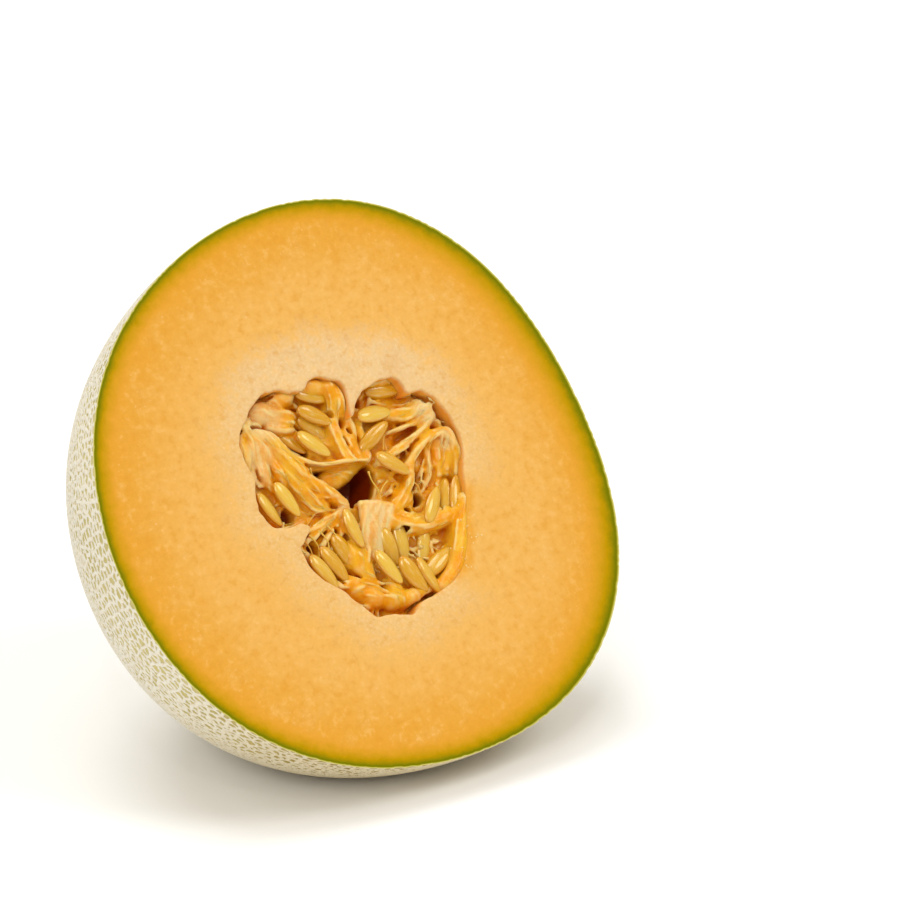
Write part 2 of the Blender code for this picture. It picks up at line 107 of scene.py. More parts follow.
# Seed cavity: outline on the cut face as (across, up)
CAVITY_OUTLINE = (
    (2.9, 17.4), (3.9, 25.6), (-0.9, 28.8), (-4.7, 29.3), (-7.8, 27.0), (-11.6, 26.9), (-15.6, 28.3),
    (-20.1, 27.8), (-24.1, 25.1), (-28.4, 20.6), (-30.3, 17.8), (-30.7, 12.6), (-29.6, 7.5), (-31.1, 2.1),
    (-30.9, -1.9), (-28.7, -5.6), (-24.6, -6.5), (-20.3, -6.4), (-19.2, -8.5), (-22.8, -11.7),
    (-23.4, -13.4), (-21.4, -19.9), (-16.6, -24.4), (-12.5, -29.4), (-8.8, -33.7), (-3.8, -34.1),
    (1.1, -35.5), (5.8, -32.8), (14.3, -30.8), (21.0, -25.6), (25.5, -15.7), (28.9, -5.5), (32.1, 4.8),
    (31.1, 11.9), (29.1, 16.5), (25.8, 19.9), (21.2, 20.3), (20.1, 23.8), (17.0, 25.2), (12.7, 24.7),
    (8.1, 22.9), (5.7, 20.7),
)
CAVITY_STEPS = 9
# How its edge is torn and its wall streaked: swing, waves round it, and where they start, which on the
# wall is for each millimetre of depth
CAVITY_TEARS = ((0.16, 37.0, 1.0), (0.12, 61.0, 2.2), (0.1, 97.0, 0.0))
WALL_STREAKS = ((0.22, 83.0, 1.0), (0.2, 47.0, -0.6))
CAVITY_MIDDLE = np.array((0.0, -3.0))
# Wall rings: depth, outline's share, and how far the ring stands outside the outline
CAVITY_RINGS = (
    (0.0, 1.0, 0.55), (0.1, 1.0, 0.22), (0.35, 1.0, 0.05), (0.8, 1.0, 0.0), (1.6, 1.0, 0.0), (2.6, 1.0, 0.0),
    (4.0, 1.0, 0.0), (6.0, 1.0, 0.0), (9.0, 1.0, 0.0), (14.0, 0.98, 0.0), (18.0, 0.93, 0.0),
    (21.0, 0.84, 0.0), (24.0, 0.72, 0.0), (27.0, 0.58, 0.0), (31.0, 0.25, 0.0),
)
LIP_EASING = 3
# Spread points of the cut face: pitch, row height and shake as shares of it, gaps to rim and lip
FACE_PITCH = 1.7
FACE_ROW = 0.87
FACE_SHAKE = 0.25
FACE_GAPS = (0.7, 0.6)
# The gap to the cavity that points of the rind are given
FAR_GAP = 60.0
# Where the pulp is torn flush with the flesh, on the cut face, and how far that shows
TORN_SIDE = (25.0, -19.0)
TORN_REACH = (9.0, 18.0)
# Paler flesh above the cavity: middle on the face, and shares of a millimetre across and up
HALO_MIDDLE = (3.0, 27.0)
HALO_SHAPE = (0.032, 0.055)
# Colours of the cut rind from its edge inwards, by distance from the edge
RIM_COLOURS = (
    (0.0, (226, 214, 150)), (0.18, (206, 200, 92)), (0.34, (144, 140, 0)), (0.55, (123, 124, 0)),
    (0.85, (140, 134, 0)), (1.15, (162, 142, 0)), (1.6, (184, 150, 0)), (2.1, (202, 157, 0)),
    (2.8, (215, 162, 22)), (3.7, (229, 167, 38)), (5.0, (239, 171, 52)), (7.0, (243, 174, 59)),
)
RIM_REACH = 8.0

# Camera: the photograph's, as a long lens in front of the cut face
PICTURE_SIZE = 900.0
FOCAL_PIXELS = 3467.0
SENSOR = 36.0
CAMERA_AZIMUTH = math.radians(-35.0)
CAMERA_ELEVATION = math.radians(20.0)
CAMERA_DISTANCE = 875.0
FACE_CENTRE_PIXEL = (364.3, 482.6)
# How much brighter the lamps show a surface than its own colour
LIGHT_GAIN = 1.3
# Far lamps: name, direction, how many degrees wide each looks, and strength
LAMPS = (
    ("front_left", (-1.1, -0.8, 1.0), 24.0, 0.8), ("front_right", (0.65, -0.8, 1.2), 25.0, 0.75),
    ("back", (-0.15, 0.55, 1.5), 31.0, 0.9), ("top", (0.0, 0.0, 1.6), 25.0, 0.27),
    ("glint", (-0.75, -1.0, 1.5), 3.0, 0.12),
)
WORLD_COLOUR = (1.0, 0.95, 0.87, 1.0)
WORLD_STRENGTH = 0.6
FLOOR_REACH = 6000.0
FLOOR_TONES = ((0.93, 0.93, 0.93, 1.0), (0.95, 0.95, 0.95, 1.0))

# Pulp: the box and the step of its grid, its floor, how far it runs into the wall, and its bed
PULP_STEP = 0.3
PULP_LOW = (-34.0, -38.0, 0.0)
PULP_HIGH = (36.0, 32.0, 18.0)
PULP_FLOOR = 17.0
PULP_OVERLAP = 0.7
BED_DEPTH = 6.4
BED_WAVE = 0.9
BED_WAVE_PITCH = 5.0
BED_SLOPE = 0.9
# Roughness of the pulp: swing and pitch
PULP_NOISE = ((0.16, 2.4), (0.08, 1.1))
# How softly each kind of form runs into the rest of the pulp
BLENDS = {"lump": 1.4, "seed": 1.1, "strand": 1.1, "fibre": 0.35, "bed fibre": 0.7, "hollow": 0.9,
          "shelf": 0.8, "pit": 0.7, "cleft": 0.6, "membrane": 0.5, "membrane edge": 0.7, "ridge": 0.5}
# How far past a form's own reach its distances are worked out; a line adds its blend to that
LINE_MARGIN = 0.6
CLEFT_MARGIN = 0.9
LUMP_MARGIN = 2.0
# How far round a point the pulp is looked at for how thin and how deep in it is, in grid steps. Its material
# paints shade into the creases from both, and paints thin crests paler, partly as highlight.
THIN_REACH = 2
CREASE_SHADE_REACH = 7
SKIN_EASING = 0.4

SEED_LENGTH = 10.8
SEED_WIDTH = 4.5
SEED_THICKNESS = 2.3
SEED_SEGMENTS = 22
SEED_ROWS = 18
SEED_GRAIN_STEP = 20.0
# Each seed as across, up, depth, turn in the face, dip and roll in degrees
SEEDS = (
    (-3.3, 25.7, 4.6, -16, 6, 10), (-5.4, 20.4, 3.6, -33, 4, -8), (-5.6, 17.6, 6.0, -42, 8, 0),
    (-8.3, 13.2, 3.6, -44, 4, 12), (-13.4, 16.2, 6.4, -53, -8, 20), (17.1, 23.1, 4.8, -7, 0, -10),
    (11.6, 17.5, 3.6, -1, 6, 10), (9.4, 11.8, 4.0, 31, -8, 0), (11.6, 3.6, 2.6, -39, 4, 8),
    (19.1, -9.2, 3.0, 50, 6, -15), (24.0, -7.9, 5.0, 66, 0, 50), (27.2, -8.1, 3.4, 66, 4, -12),
    (-26.3, -0.3, 4.2, -67, 4, 25), (-20.9, 1.0, 3.4, -65, 6, 10), (-5.8, -10.2, 2.8, -79, 4, 14),
    (-17.6, -19.0, 3.2, -62, 4, 12), (3.9, -16.7, 4.8, -83, 8, -10), (8.2, -16.3, 5.8, -94, 6, 0),
    (0.4, -22.1, 2.6, -63, 4, 8), (6.5, -25.6, 2.4, -65, 4, -6), (10.8, -26.8, 2.6, -71, 4, 30),
    (16.1, -23.5, 4.0, 30, 0, 20), (14.1, -19.2, 6.2, -111, 8, 0), (-13.3, -17.6, 4.2, -64, 4, 10),
    (-9.2, -15.4, 4.8, -70, 6, -10),
)
# Seeds that the pulp still covers
COVERED_SEEDS = (
    (-6.0, -18.6, 4.6, -71, 0, 0),
    (-15.6, 4.6, 4.6, -62, 0, 0),
)
# The pulp round the seeds: which seeds, what it adds to their half length and width and to their half
# thickness, and how far down it lies
SEED_BEDS = ((SEEDS, -0.7, 0.3, 1.1), (COVERED_SEEDS, 0.5, 0.4, 0.0))

# Strands and standing bands: line as (across, up, depth, radius), how far it reaches down, and how
# many loose fibres lie on it
STRANDS = (
    # Left mass: the broad band beside the hollow, the thin wall over it, and the column to the top
    (((-22.9, 21.0, 3.9, 1.3), (-20.4, 17.3, 3.6, 1.6), (-17.9, 12.3, 3.8, 1.9), (-14.4, 6.7, 4.0, 2.1),
      (-9.2, 1.4, 4.0, 2.0), (-5.6, -3.0, 4.0, 1.5)), 7.0, 12),
    (((-19.6, 12.4, 5.4, 1.5), (-17.6, 8.6, 5.2, 2.3), (-15.2, 3.8, 5.4, 2.5), (-12.8, -0.4, 5.8, 2.4),
      (-10.4, -3.4, 6.0, 1.8)), 3.0, 8),
    (((-19.0, 15.2, 3.1, 0.6), (-13.7, 10.4, 3.1, 0.55), (-8.3, 7.7, 3.1, 0.55), (-1.8, 6.9, 2.9, 0.6),
      (4.9, 5.6, 3.2, 0.7)), 12.0, 0),
    (((1.0, 26.5, 3.6, 2.2), (1.4, 22.4, 4.4, 2.0), (-0.4, 17.6, 5.2, 1.7), (-0.2, 12.6, 4.9, 1.8),
      (0.2, 7.2, 4.2, 1.6)), 4.0, 6),
    (((2.8, 21.0, 4.8, 1.6), (3.8, 16.6, 5.4, 1.5), (3.0, 12.0, 5.2, 1.6), (3.6, 7.2, 4.8, 1.5)), 4.0, 6),
    (((7.6, 19.4, 5.4, 0.9), (6.4, 14.6, 5.4, 1.1), (6.6, 10.0, 5.0, 1.1), (5.4, 6.4, 4.6, 0.9)), 2.0, 4),
    (((-18.6, 24.2, 4.6, 1.5), (-13.8, 22.9, 4.2, 1.2), (-10.4, 21.4, 5.0, 0.6)), 1.0, 3),
    (((-17.2, 21.6, 4.6, 1.3), (-13.2, 20.4, 4.3, 1.0), (-10.8, 19.6, 5.0, 0.5)), 1.0, 2),
    (((-18.4, 19.8, 4.6, 1.2), (-14.2, 18.4, 4.3, 0.9), (-11.8, 18.3, 5.0, 0.5)), 1.0, 2),
    (((-24.2, 14.5, 4.8, 1.7), (-24.3, 10.5, 4.4, 1.4), (-24.0, 7.2, 4.5, 1.2),
      (-23.2, 4.6, 5.2, 0.7)), 2.0, 3),
    (((-21.8, 14.0, 4.8, 1.6), (-21.0, 10.5, 4.2, 1.3), (-20.3, 7.2, 4.2, 1.2),
      (-19.6, 4.4, 5.2, 0.6)), 2.0, 3),
    (((-27.0, 13.4, 5.0, 1.0), (-27.2, 9.6, 5.0, 0.8), (-26.6, 7.0, 5.6, 0.5)), 1.0, 1),
    # Right mass: two arms from its knob, the long strip, the arch with its fan, and the ledge
    (((27.0, 17.4, 4.4, 2.2), (21.4, 15.6, 4.4, 1.9), (16.8, 16.2, 4.8, 1.5),
      (12.8, 16.8, 5.4, 0.8)), 2.0, 8),
    (((26.2, 13.8, 4.4, 1.5), (22.2, 12.6, 4.3, 1.0), (18.3, 12.2, 4.5, 0.8),
      (14.2, 12.0, 5.2, 0.5)), 1.0, 3),
    (((27.8, 13.4, 3.4, 1.0), (24.0, 10.6, 3.2, 0.95), (18.2, 8.4, 3.3, 0.9), (12.8, 6.3, 3.8, 0.9),
      (8.4, 4.8, 4.4, 0.8)), 6.0, 5),
    (((16.2, 2.0, 3.6, 1.0), (20.3, 6.0, 3.1, 1.1), (25.4, 8.7, 3.0, 1.15), (29.3, 8.5, 3.0, 1.2),
      (31.2, 5.9, 3.1, 1.2), (30.9, 2.0, 3.4, 1.0), (29.8, -2.5, 4.2, 0.8)), 4.0, 10),
    (((29.6, 7.2, 4.6, 1.3), (28.8, 3.0, 4.8, 1.2), (27.6, -1.5, 5.4, 0.9)), 3.0, 4),
    (((26.8, 7.2, 4.8, 1.4), (26.4, 3.0, 5.0, 1.3), (25.6, -1.5, 5.6, 0.9)), 3.0, 4),
    (((23.8, 6.2, 4.8, 1.0), (23.3, 3.0, 4.6, 0.8), (22.4, -0.5, 5.0, 0.8), (20.4, -3.4, 5.6, 0.6)), 3.0, 2),
    (((16.2, 2.0, 3.8, 1.3), (15.6, -1.3, 3.9, 1.3), (12.2, -4.6, 4.2, 1.4), (8.6, -7.2, 4.2, 1.3)), 4.0, 7),
    (((5.0, -8.6, 4.6, 1.4), (8.5, -11.6, 4.6, 1.8), (13.5, -13.4, 4.6, 2.0), (19.7, -13.6, 4.5, 2.0),
      (26.0, -12.6, 4.0, 2.0)), 3.0, 9),
    (((28.2, -10.4, 2.7, 2.5), (25.2, -16.0, 2.6, 2.6), (22.8, -21.0, 2.6, 2.6), (19.6, -26.4, 2.8, 2.6),
      (14.2, -30.4, 3.4, 2.2)), 5.0, 6),
    # Lower mass: strands that tie it to the left one, its left lip and the ones beside the seeds
    (((-5.4, -5.0, 4.4, 1.4), (-10.0, -6.4, 4.6, 1.2), (-14.0, -8.4, 4.8, 1.1),
      (-18.4, -10.8, 5.0, 0.9)), 1.0, 6),
    (((-6.0, -6.6, 4.8, 0.9), (-11.0, -9.4, 4.8, 0.8), (-15.4, -13.0, 5.2, 0.6)), 0.5, 3),
    (((-4.6, -6.8, 4.6, 0.8), (-8.4, -10.0, 5.0, 0.7), (-12.2, -13.6, 5.4, 0.5)), 0.5, 3),
    (((-10.6, -6.0, 4.6, 0.8), (-15.4, -7.4, 4.6, 0.6), (-19.6, -7.6, 5.0, 0.5)), 0.5, 2),
    (((-22.8, -11.6, 3.8, 1.2), (-19.6, -14.6, 4.4, 1.0), (-15.8, -19.0, 5.2, 0.8)), 2.0, 3),
    (((-15.4, -22.4, 4.6, 1.2), (-12.0, -23.4, 4.6, 1.2), (-7.6, -23.8, 4.8, 1.2),
      (-4.0, -25.4, 4.8, 1.3)), 2.0, 5),
    (((-2.6, -12.0, 5.2, 0.9), (-3.4, -17.0, 5.0, 1.0), (-4.0, -22.0, 5.0, 1.0)), 2.0, 3),
)

# Membrane of fibres under the hollow's right edge: its top and bottom lines
MEMBRANE_TOP = ((-0.6, -4.4, 4.2), (4.3, -5.4, 3.8), (8.2, -7.2, 3.9))
MEMBRANE_END = ((-3.4, -17.0, 5.6), (-1.4, -19.0, 5.6), (2.0, -17.4, 5.8))
MEMBRANE_FIBRES = 22

# Lumps: across, up, depth, half sizes, turn in degrees
LUMPS = (
    (-19.4, 24.2, 5.6, (4.6, 3.2, 3.6), -20), (-24.8, 17.6, 5.4, (3.6, 4.0, 3.6), 20),
    (-23.2, 13.8, 5.4, (3.2, 3.4, 3.2), 0), (26.6, 15.8, 5.4, (3.2, 4.2, 3.4), 25),
    (20.5, -12.0, 5.2, (6.5, 2.6, 2.6), 5), (11.5, -10.4, 5.4, (4.5, 2.4, 2.4), -30),
    (-5.8, -28.0, 4.8, (3.4, 3.0, 3.0), -40), (-0.6, -30.2, 4.4, (3.4, 2.6, 2.9), 0),
    (4.2, -30.8, 4.4, (3.4, 2.3, 2.9), 10), (8.8, -29.8, 4.8, (2.8, 2.0, 2.6), 20),
    (-9.4, -24.6, 5.2, (2.6, 2.8, 2.6), 0), (1.0, -27.2, 5.2, (3.0, 2.2, 2.4), -60),
    (12.8, -5.6, 5.4, (2.4, 3.0, 2.0), 30), (-3.4, 27.6, 5.4, (5.4, 2.6, 4.0), -12),
    (2.4, 23.4, 5.0, (2.2, 4.4, 3.6), 0), (1.6, 13.0, 6.2, (4.4, 4.0, 2.4), 0),
    (-13.0, 26.6, 5.2, (4.0, 2.4, 3.6), 0), (23.6, 21.6, 5.8, (2.4, 2.0, 3.2), -10),
    (16.6, 25.6, 6.2, (5.0, 2.0, 3.8), 0), (31.2, 11.5, 6.4, (2.6, 7.0, 3.8), 8),
    (29.6, 17.0, 5.6, (2.6, 4.0, 3.8), 40), (-29.0, 15.0, 4.6, (2.6, 5.0, 3.6), 0),
    (-26.6, 21.6, 4.6, (3.4, 3.0, 3.6), 40), (31.6, 4.0, 5.4, (2.0, 6.0, 3.6), 0),
)

# Hollow between the three masses: its outline on the face, and the box that it lies in
HOLLOW = ((-12.4, 6.6), (-7.0, 6.6), (6.8, 5.2), (5.2, -2.6), (-1.4, -4.6), (-4.4, -2.2), (-9.6, 3.2))
HOLLOW_BOX = ((-18.0, -12.0, 0.0), (14.0, 14.0, 16.0))
HOLLOW_TAPER = -0.04
HOLLOW_BOWL = 0.035
# Sloping shelf that fills the hollow's upper left: middle, half sizes, and turn, dip and roll
SHELF = ((-0.8, 5.6, 9.4), (9.6, 3.5, 3.2), (23, 0, -12))
# Smaller pits: across, up, depth, half sizes, turn in degrees
PITS = (
    (1.9, 17.0, 4.2, (0.6, 1.3, 3.0), -30), (3.4, 14.6, 4.6, (0.5, 0.9, 2.6), 20),
    (1.0, 12.2, 4.2, (0.5, 1.5, 3.0), 14), (-0.6, 19.8, 4.6, (0.7, 1.0, 2.8), 30),
    (5.4, 12.4, 4.6, (0.4, 1.2, 2.6), -8), (-12.0, 13.4, 7.0, (3.4, 1.0, 3.0), -45),
    (19.1, 10.3, 5.4, (4.2, 1.4, 2.8), 22), (17.6, -1.2, 6.6, (1.6, 3.0, 3.4), -30),
    (16.6, -6.4, 7.0, (2.2, 1.6, 3.4), 0), (11.8, -8.8, 5.4, (1.5, 0.8, 3.4), -10),
    (-17.2, -12.0, 6.0, (2.0, 1.4, 3.4), -50), (-21.0, -9.6, 5.0, (0.9, 1.0, 3.0), 0),
    (-20.6, -2.6, 6.6, (1.6, 2.0, 3.0), 0), (9.8, -12.9, 6.0, (2.6, 1.2, 3.0), 0),
    (-11.0, 26.2, 6.0, (1.5, 0.9, 3.0), 0), (8.6, 21.6, 6.4, (1.6, 1.6, 3.4), 30),
    (-16.6, -13.4, 4.8, (1.0, 1.5, 3.0), -60), (-14.4, -10.4, 4.6, (0.6, 1.3, 2.6), -30),
    (-18.8, -13.6, 5.0, (0.8, 1.6, 3.0), -20), (-9.6, -9.8, 4.4, (0.5, 1.2, 2.4), 10),
    (-9.4, -20.4, 5.0, (3.0, 0.6, 2.6), -50), (-14.6, -20.6, 5.0, (3.4, 0.5, 2.6), -52),
    (-3.2, -14.4, 5.0, (3.4, 0.5, 2.6), -78), (-15.4, 13.8, 6.0, (2.6, 0.6, 2.8), -50),
    (-9.0, 17.6, 6.0, (3.0, 0.5, 2.8), -42), (-7.6, 22.6, 6.0, (3.0, 0.5, 2.8), -30),
    (-22.9, -1.8, 5.4, (3.6, 0.5, 3.0), -64), (21.6, -10.6, 5.4, (2.6, 0.5, 2.6), 60),
)
# Clefts along the wall, as lines of across, up, depth, radius and how far down they go
CLEFTS = (
    (((25.2, 19.6, 3.0, 0.8), (28.6, 16.4, 3.0, 1.0), (31.0, 11.8, 3.0, 1.1), (32.4, 6.0, 3.0, 0.9),
      (32.0, 1.0, 3.6, 0.6)), 1.6),
    (((-15.6, 27.4, 3.4, 0.4), (-20.1, 27.6, 3.2, 0.45), (-23.9, 25.2, 3.2, 0.45),
      (-26.2, 22.0, 3.4, 0.6)), 1.5),
    (((-29.6, 17.8, 2.6, 0.35), (-28.4, 20.1, 2.4, 0.45), (-26.9, 20.8, 2.2, 0.4), (-22.6, 20.6, 2.4, 0.35),
      (-19.3, 18.9, 2.8, 0.35), (-16.2, 16.8, 3.4, 0.4)), 2.4),
    (((-9.4, -33.0, 3.6, 0.6), (-7.4, -33.2, 3.4, 0.6), (-3.8, -33.4, 3.2, 0.5),
      (-1.0, -33.9, 3.4, 0.5)), 3.0),
    (((1.4, -34.0, 3.4, 0.5), (4.4, -33.2, 3.4, 0.5), (8.0, -31.8, 3.4, 0.5), (10.6, -31.4, 3.8, 0.5)), 3.0),
)
# Short fibres over the bed: how many, how far from the middle, turn, length, depth and radius
BED_FIBRES = 340
BED_FIBRE_REACH = (8.0, 24.0)
BED_FIBRE_TURN = 0.5
BED_FIBRE_LENGTHS = (2.0, 6.5)
BED_FIBRE_DEPTHS = (-1.0, 0.5)
BED_FIBRE_RADII = (0.25, 0.6)

# Pale silky places: across, up, reach
SILK = (
    (-21.0, 22.5, 8.0), (-25.0, 13.0, 5.5), (27.0, 15.5, 6.0), (-27.0, 8.0, 4.0), (2.0, -4.5, 3.0),
    (-6.0, -5.5, 3.0), (29.0, 6.5, 3.5),
)
SILK_FADE = 0.6
SILK_DEPTH = (7.5, 2.5)

# Grain of the pulp: streaks that follow its strands
FLOW_SPREAD = 3.0
GRAIN_STEPS = 9
GRAIN_RELIEF = 0.13

# Loose filaments over the pulp, and the few that hang across its hollows as (across, up, depth)
RIDGES = 420
RIDGE_RADII = (0.22, 0.5)
FILAMENTS = 170
FILAMENT_RADII = (0.07, 0.15)
FILAMENT_STEP = 0.6
FILAMENT_SIDES = 6
FILAMENT_LEAN = 0.22
FILAMENT_SWAY = 0.07
FILAMENT_STEPS = (5, 17)
FILAMENT_DROP = 3.0
# Depths of the pulp that carry filaments, and how those look in the pulp's material: paler, partly as
# painted highlight, and without painted crease shade
FILAMENT_GROUND = (0.8, 8.0)
FILAMENT_LOOK = {"thin": 0.42, "crease_shade": 0.3}
HANGING_RADIUS = 0.16
HANGING = (
    ((4.4, 3.2, 3.6), (4.9, 0.8, 4.2), (6.1, -2.4, 4.4)),
    ((9.3, -0.2, 4.2), (7.8, -1.2, 4.4), (6.2, -2.8, 4.6)),
    ((5.4, -1.0, 4.2), (5.9, -3.0, 4.4), (5.6, -5.2, 4.4)),
    ((12.5, 12.2, 4.0), (12.0, 10.0, 4.2), (11.1, 7.8, 4.2)),
    ((13.2, 12.0, 4.6), (12.6, 9.8, 4.8), (12.2, 7.4, 4.6)),
    ((-13.6, 9.0, 3.8), (-12.0, 6.6, 4.2), (-9.6, 3.8, 4.4)),
    ((-11.4, 7.6, 3.8), (-11.2, 5.8, 4.2), (-9.9, 3.9, 4.4)),
    ((-14.4, 9.6, 3.8), (-13.8, 7.8, 4.4), (-12.2, 5.6, 4.6)),
    ((-20.2, -9.6, 3.6), (-18.8, -12.4, 4.0), (-18.6, -15.4, 4.6)),
    ((-18.0, -9.0, 3.8), (-16.4, -12.0, 4.0), (-16.6, -15.2, 4.8)),
    ((-22.0, -10.0, 4.0), (-20.6, -12.6, 4.4), (-20.4, -14.6, 5.0)),
    ((-15.0, -8.4, 3.8), (-13.4, -11.4, 3.8), (-13.6, -14.4, 4.6)),
    ((-12.4, -7.6, 3.6), (-10.6, -11.0, 3.6), (-10.8, -14.0, 4.2)),
    ((15.4, -1.4, 3.6), (17.2, -3.4, 3.8), (17.6, -6.2, 4.4)),
)

# Beads of juice: middle of each group as (across, up), its spread, and how many beads
JUICE = (
    ((26.3, -17.5), (2.4, 6.5), 14), ((20.9, -27.0), (2.0, 5.0), 14), ((18.0, -33.5), (1.6, 5.0), 10),
    ((18.0, -24.5), (3.4, 5.0), 8), ((-12.4, -16.5), (3.0, 4.0), 10), ((8.4, -20.8), (2.6, 2.4), 6),
    ((18.6, -5.6), (2.6, 4.2), 8), ((-23.0, 18.4), (5.0, 4.0), 9), ((27.4, 16.0), (2.6, 4.6), 9),
    ((1.0, 6.6), (4.0, 2.0), 6), ((9.0, -29.8), (7.0, 2.4), 9), ((-19.0, 8.0), (6.0, 6.0), 7),
)
JUICE_RADII = (0.1, 0.27)
JUICE_SPREAD = 0.6
JUICE_DEEPEST = 6.0
JUICE_STRETCH = (1.0, 1.8)
JUICE_SUNK = 0.08
JUICE_RISE = 0.6
JUICE_SIDES = 10
JUICE_ROWS = 4


# Numbers

def smooth_share(value):
    value = np.clip(value, 0.0, 1.0)
    return value * value * (3.0 - 2.0 * value)


def bump(value, height, middle, spread):
    return height * np.exp(-((value - middle) / spread) ** 2)


def on_face(across, up, depth):
    """World place of a point given on the cut face, in millimetres."""
    across, up, depth = [part[..., None] for part in np.broadcast_arrays(across, up, depth)]
    return FACE_CENTRE + across * FACE_RIGHT + up * FACE_UP - depth * FACE_OUT


def rest_place(points):
    """Points on the face as the materials read them: across, up and out of the face."""
    return points * (1.0, 1.0, -1.0)


def turned(first, second, angle):
    """Two coordinates turned by an angle."""
    return (first * math.cos(angle) - second * math.sin(angle),
            first * math.sin(angle) + second * math.cos(angle))


def unit(vectors):
    return vectors / np.maximum(np.linalg.norm(vectors, axis=1, keepdims=True), 1e-9)


def face_radius(angle):
    radius = np.full_like(angle, EQUATOR_RADIUS)
    for lobes, swing, crest in FACE_WAVES:
        radius += swing * np.cos(lobes * (angle - crest))
    return radius


def curve_through(before, start, end, after, steps):
    """Smooth curves from each start to its end, with some steps on each."""
    parts = []
    for share in np.arange(steps) / steps:
        parts.append(0.5 * (2.0 * start + (end - before) * share
                            + (2.0 * before - 5.0 * start + 4.0 * end - after) * share ** 2
                            + (3.0 * start - before - 3.0 * end + after) * share ** 3))
    return np.stack(parts, 1).reshape(-1, start.shape[1])


def closed_curve(points, steps):
    points = np.asarray(points, float)
    return curve_through(*[np.roll(points, shift, 0) for shift in (1, 0, -1, -2)], steps)


def open_curve(points, steps):
    points = np.asarray(points, float)
    before = np.concatenate((points[:1], points[:-2]))
    after = np.concatenate((points[2:], points[-1:]))
    return np.concatenate((curve_through(before, points[:-1], points[1:], after, steps), points[-1:]))


def loop_outward(loop):
    """Unit vectors that point out of a closed loop on the face."""
    before = np.roll(loop, 1, 0)
    along = unit(np.roll(loop, -1, 0) - before)
    area = np.sum(before[:, 0] * loop[:, 1] - loop[:, 0] * before[:, 1])
    return np.stack((along[:, 1], -along[:, 0]), 1) * np.sign(area)


def loop_distance(points, loop):
    """Distance from points to a closed loop, less than 0 inside it."""
    result = np.full(len(points), 1e9)
    inside = np.zeros(len(points), bool)
    for start, end in zip(loop, np.roll(loop, -1, 0)):
        way = end - start
        share = np.clip(((points - start) @ way) / max(way @ way, 1e-12), 0.0, 1.0)
        gap = points - start - share[:, None] * way
        result = np.minimum(result, np.hypot(gap[:, 0], gap[:, 1]))
        crosses = (start[1] > points[:, 1]) != (end[1] > points[:, 1])
        if way[1] != 0.0:
            inside ^= crosses & (points[:, 0] < start[0] + (points[:, 1] - start[1]) * way[0] / way[1])
    return np.where(inside, -result, result)


def grid_distance(across, up, loop):
    """Distance from each point of a grid on the face to a closed loop."""
    spots = np.stack(np.meshgrid(across, up, indexing="ij"), -1).reshape(-1, 2)
    return loop_distance(spots, loop).reshape(len(across), len(up))


# Meshes

def ring_faces(rings, sides, start):
    """Quads between closed rings of points, which follow each other from a first point on."""
    corner = np.arange(sides)
    following = (corner + 1) % sides
    rows = [np.stack((low + corner, low + following, low + sides + following, low + sides + corner), 1)
            for low in start + sides * np.arange(rings - 1)]
    return np.concatenate(rows).tolist()


def fan_faces(sides, start, tip):
    """Triangles from a closed ring of points to its tip."""
    return [[start + corner, start + (corner + 1) % sides, tip] for corner in range(sides)]


def add_mesh(name, points, faces, materials, slots=None, attributes=None):
    mesh = bpy.data.meshes.new(name)
    mesh.from_pydata((np.asarray(points) * MM).tolist(), [], faces)
    for material in materials:
        mesh.materials.append(material)
    if slots is not None:
        mesh.polygons.foreach_set("material_index", np.asarray(slots, np.int32))
    for key, values in (attributes or {}).items():
        kind, field = ("FLOAT_VECTOR", "vector") if np.ndim(values) == 2 else ("FLOAT", "value")
        values = np.asarray(values, np.float32).ravel()
        mesh.attributes.new(key, kind, "POINT").data.foreach_set(field, values)
    mesh.polygons.foreach_set("use_smooth", np.ones(len(mesh.polygons), bool))
    thing = bpy.data.objects.new(name, mesh)
    bpy.context.scene.collection.objects.link(thing)
    return thing


def add_parts(name, parts, material):
    """One mesh from small ones, each given as points on the face, faces and values of its points."""
    starts = np.cumsum([0] + [len(points) for points, _, _ in parts]).tolist()
    faces = [[start + corner for corner in face] for start, part in zip(starts, parts) for face in part[1]]
    points = np.concatenate([part[0] for part in parts])
    attributes = {key: np.concatenate([part[2][key] for part in parts]) for key in parts[0][2]}
    thing = add_mesh(name, on_face(*points.T), faces, [material], None, attributes)
    turn_outward(thing)
    return thing


def turn_outward(thing):
    bm = bmesh.new()
    bm.from_mesh(thing.data)
    bmesh.ops.recalc_face_normals(bm, faces=bm.faces)
    bm.to_mesh(thing.data)
    bm.free()


def crease(thing, names):
    """Mark the edges that join two of the named points as sharp."""
    mesh = thing.data
    chosen = np.zeros(len(mesh.vertices), bool)
    chosen[names] = True
    ends = np.zeros(len(mesh.edges) * 2, np.int32)
    mesh.edges.foreach_get("vertices", ends)
    sharp = chosen[ends].reshape(-1, 2).all(1)
    mesh.attributes.new("sharp_edge", "BOOLEAN", "EDGE").data.foreach_set("value", sharp)


# Node graphs: one small kit for materials and for geometry nodes

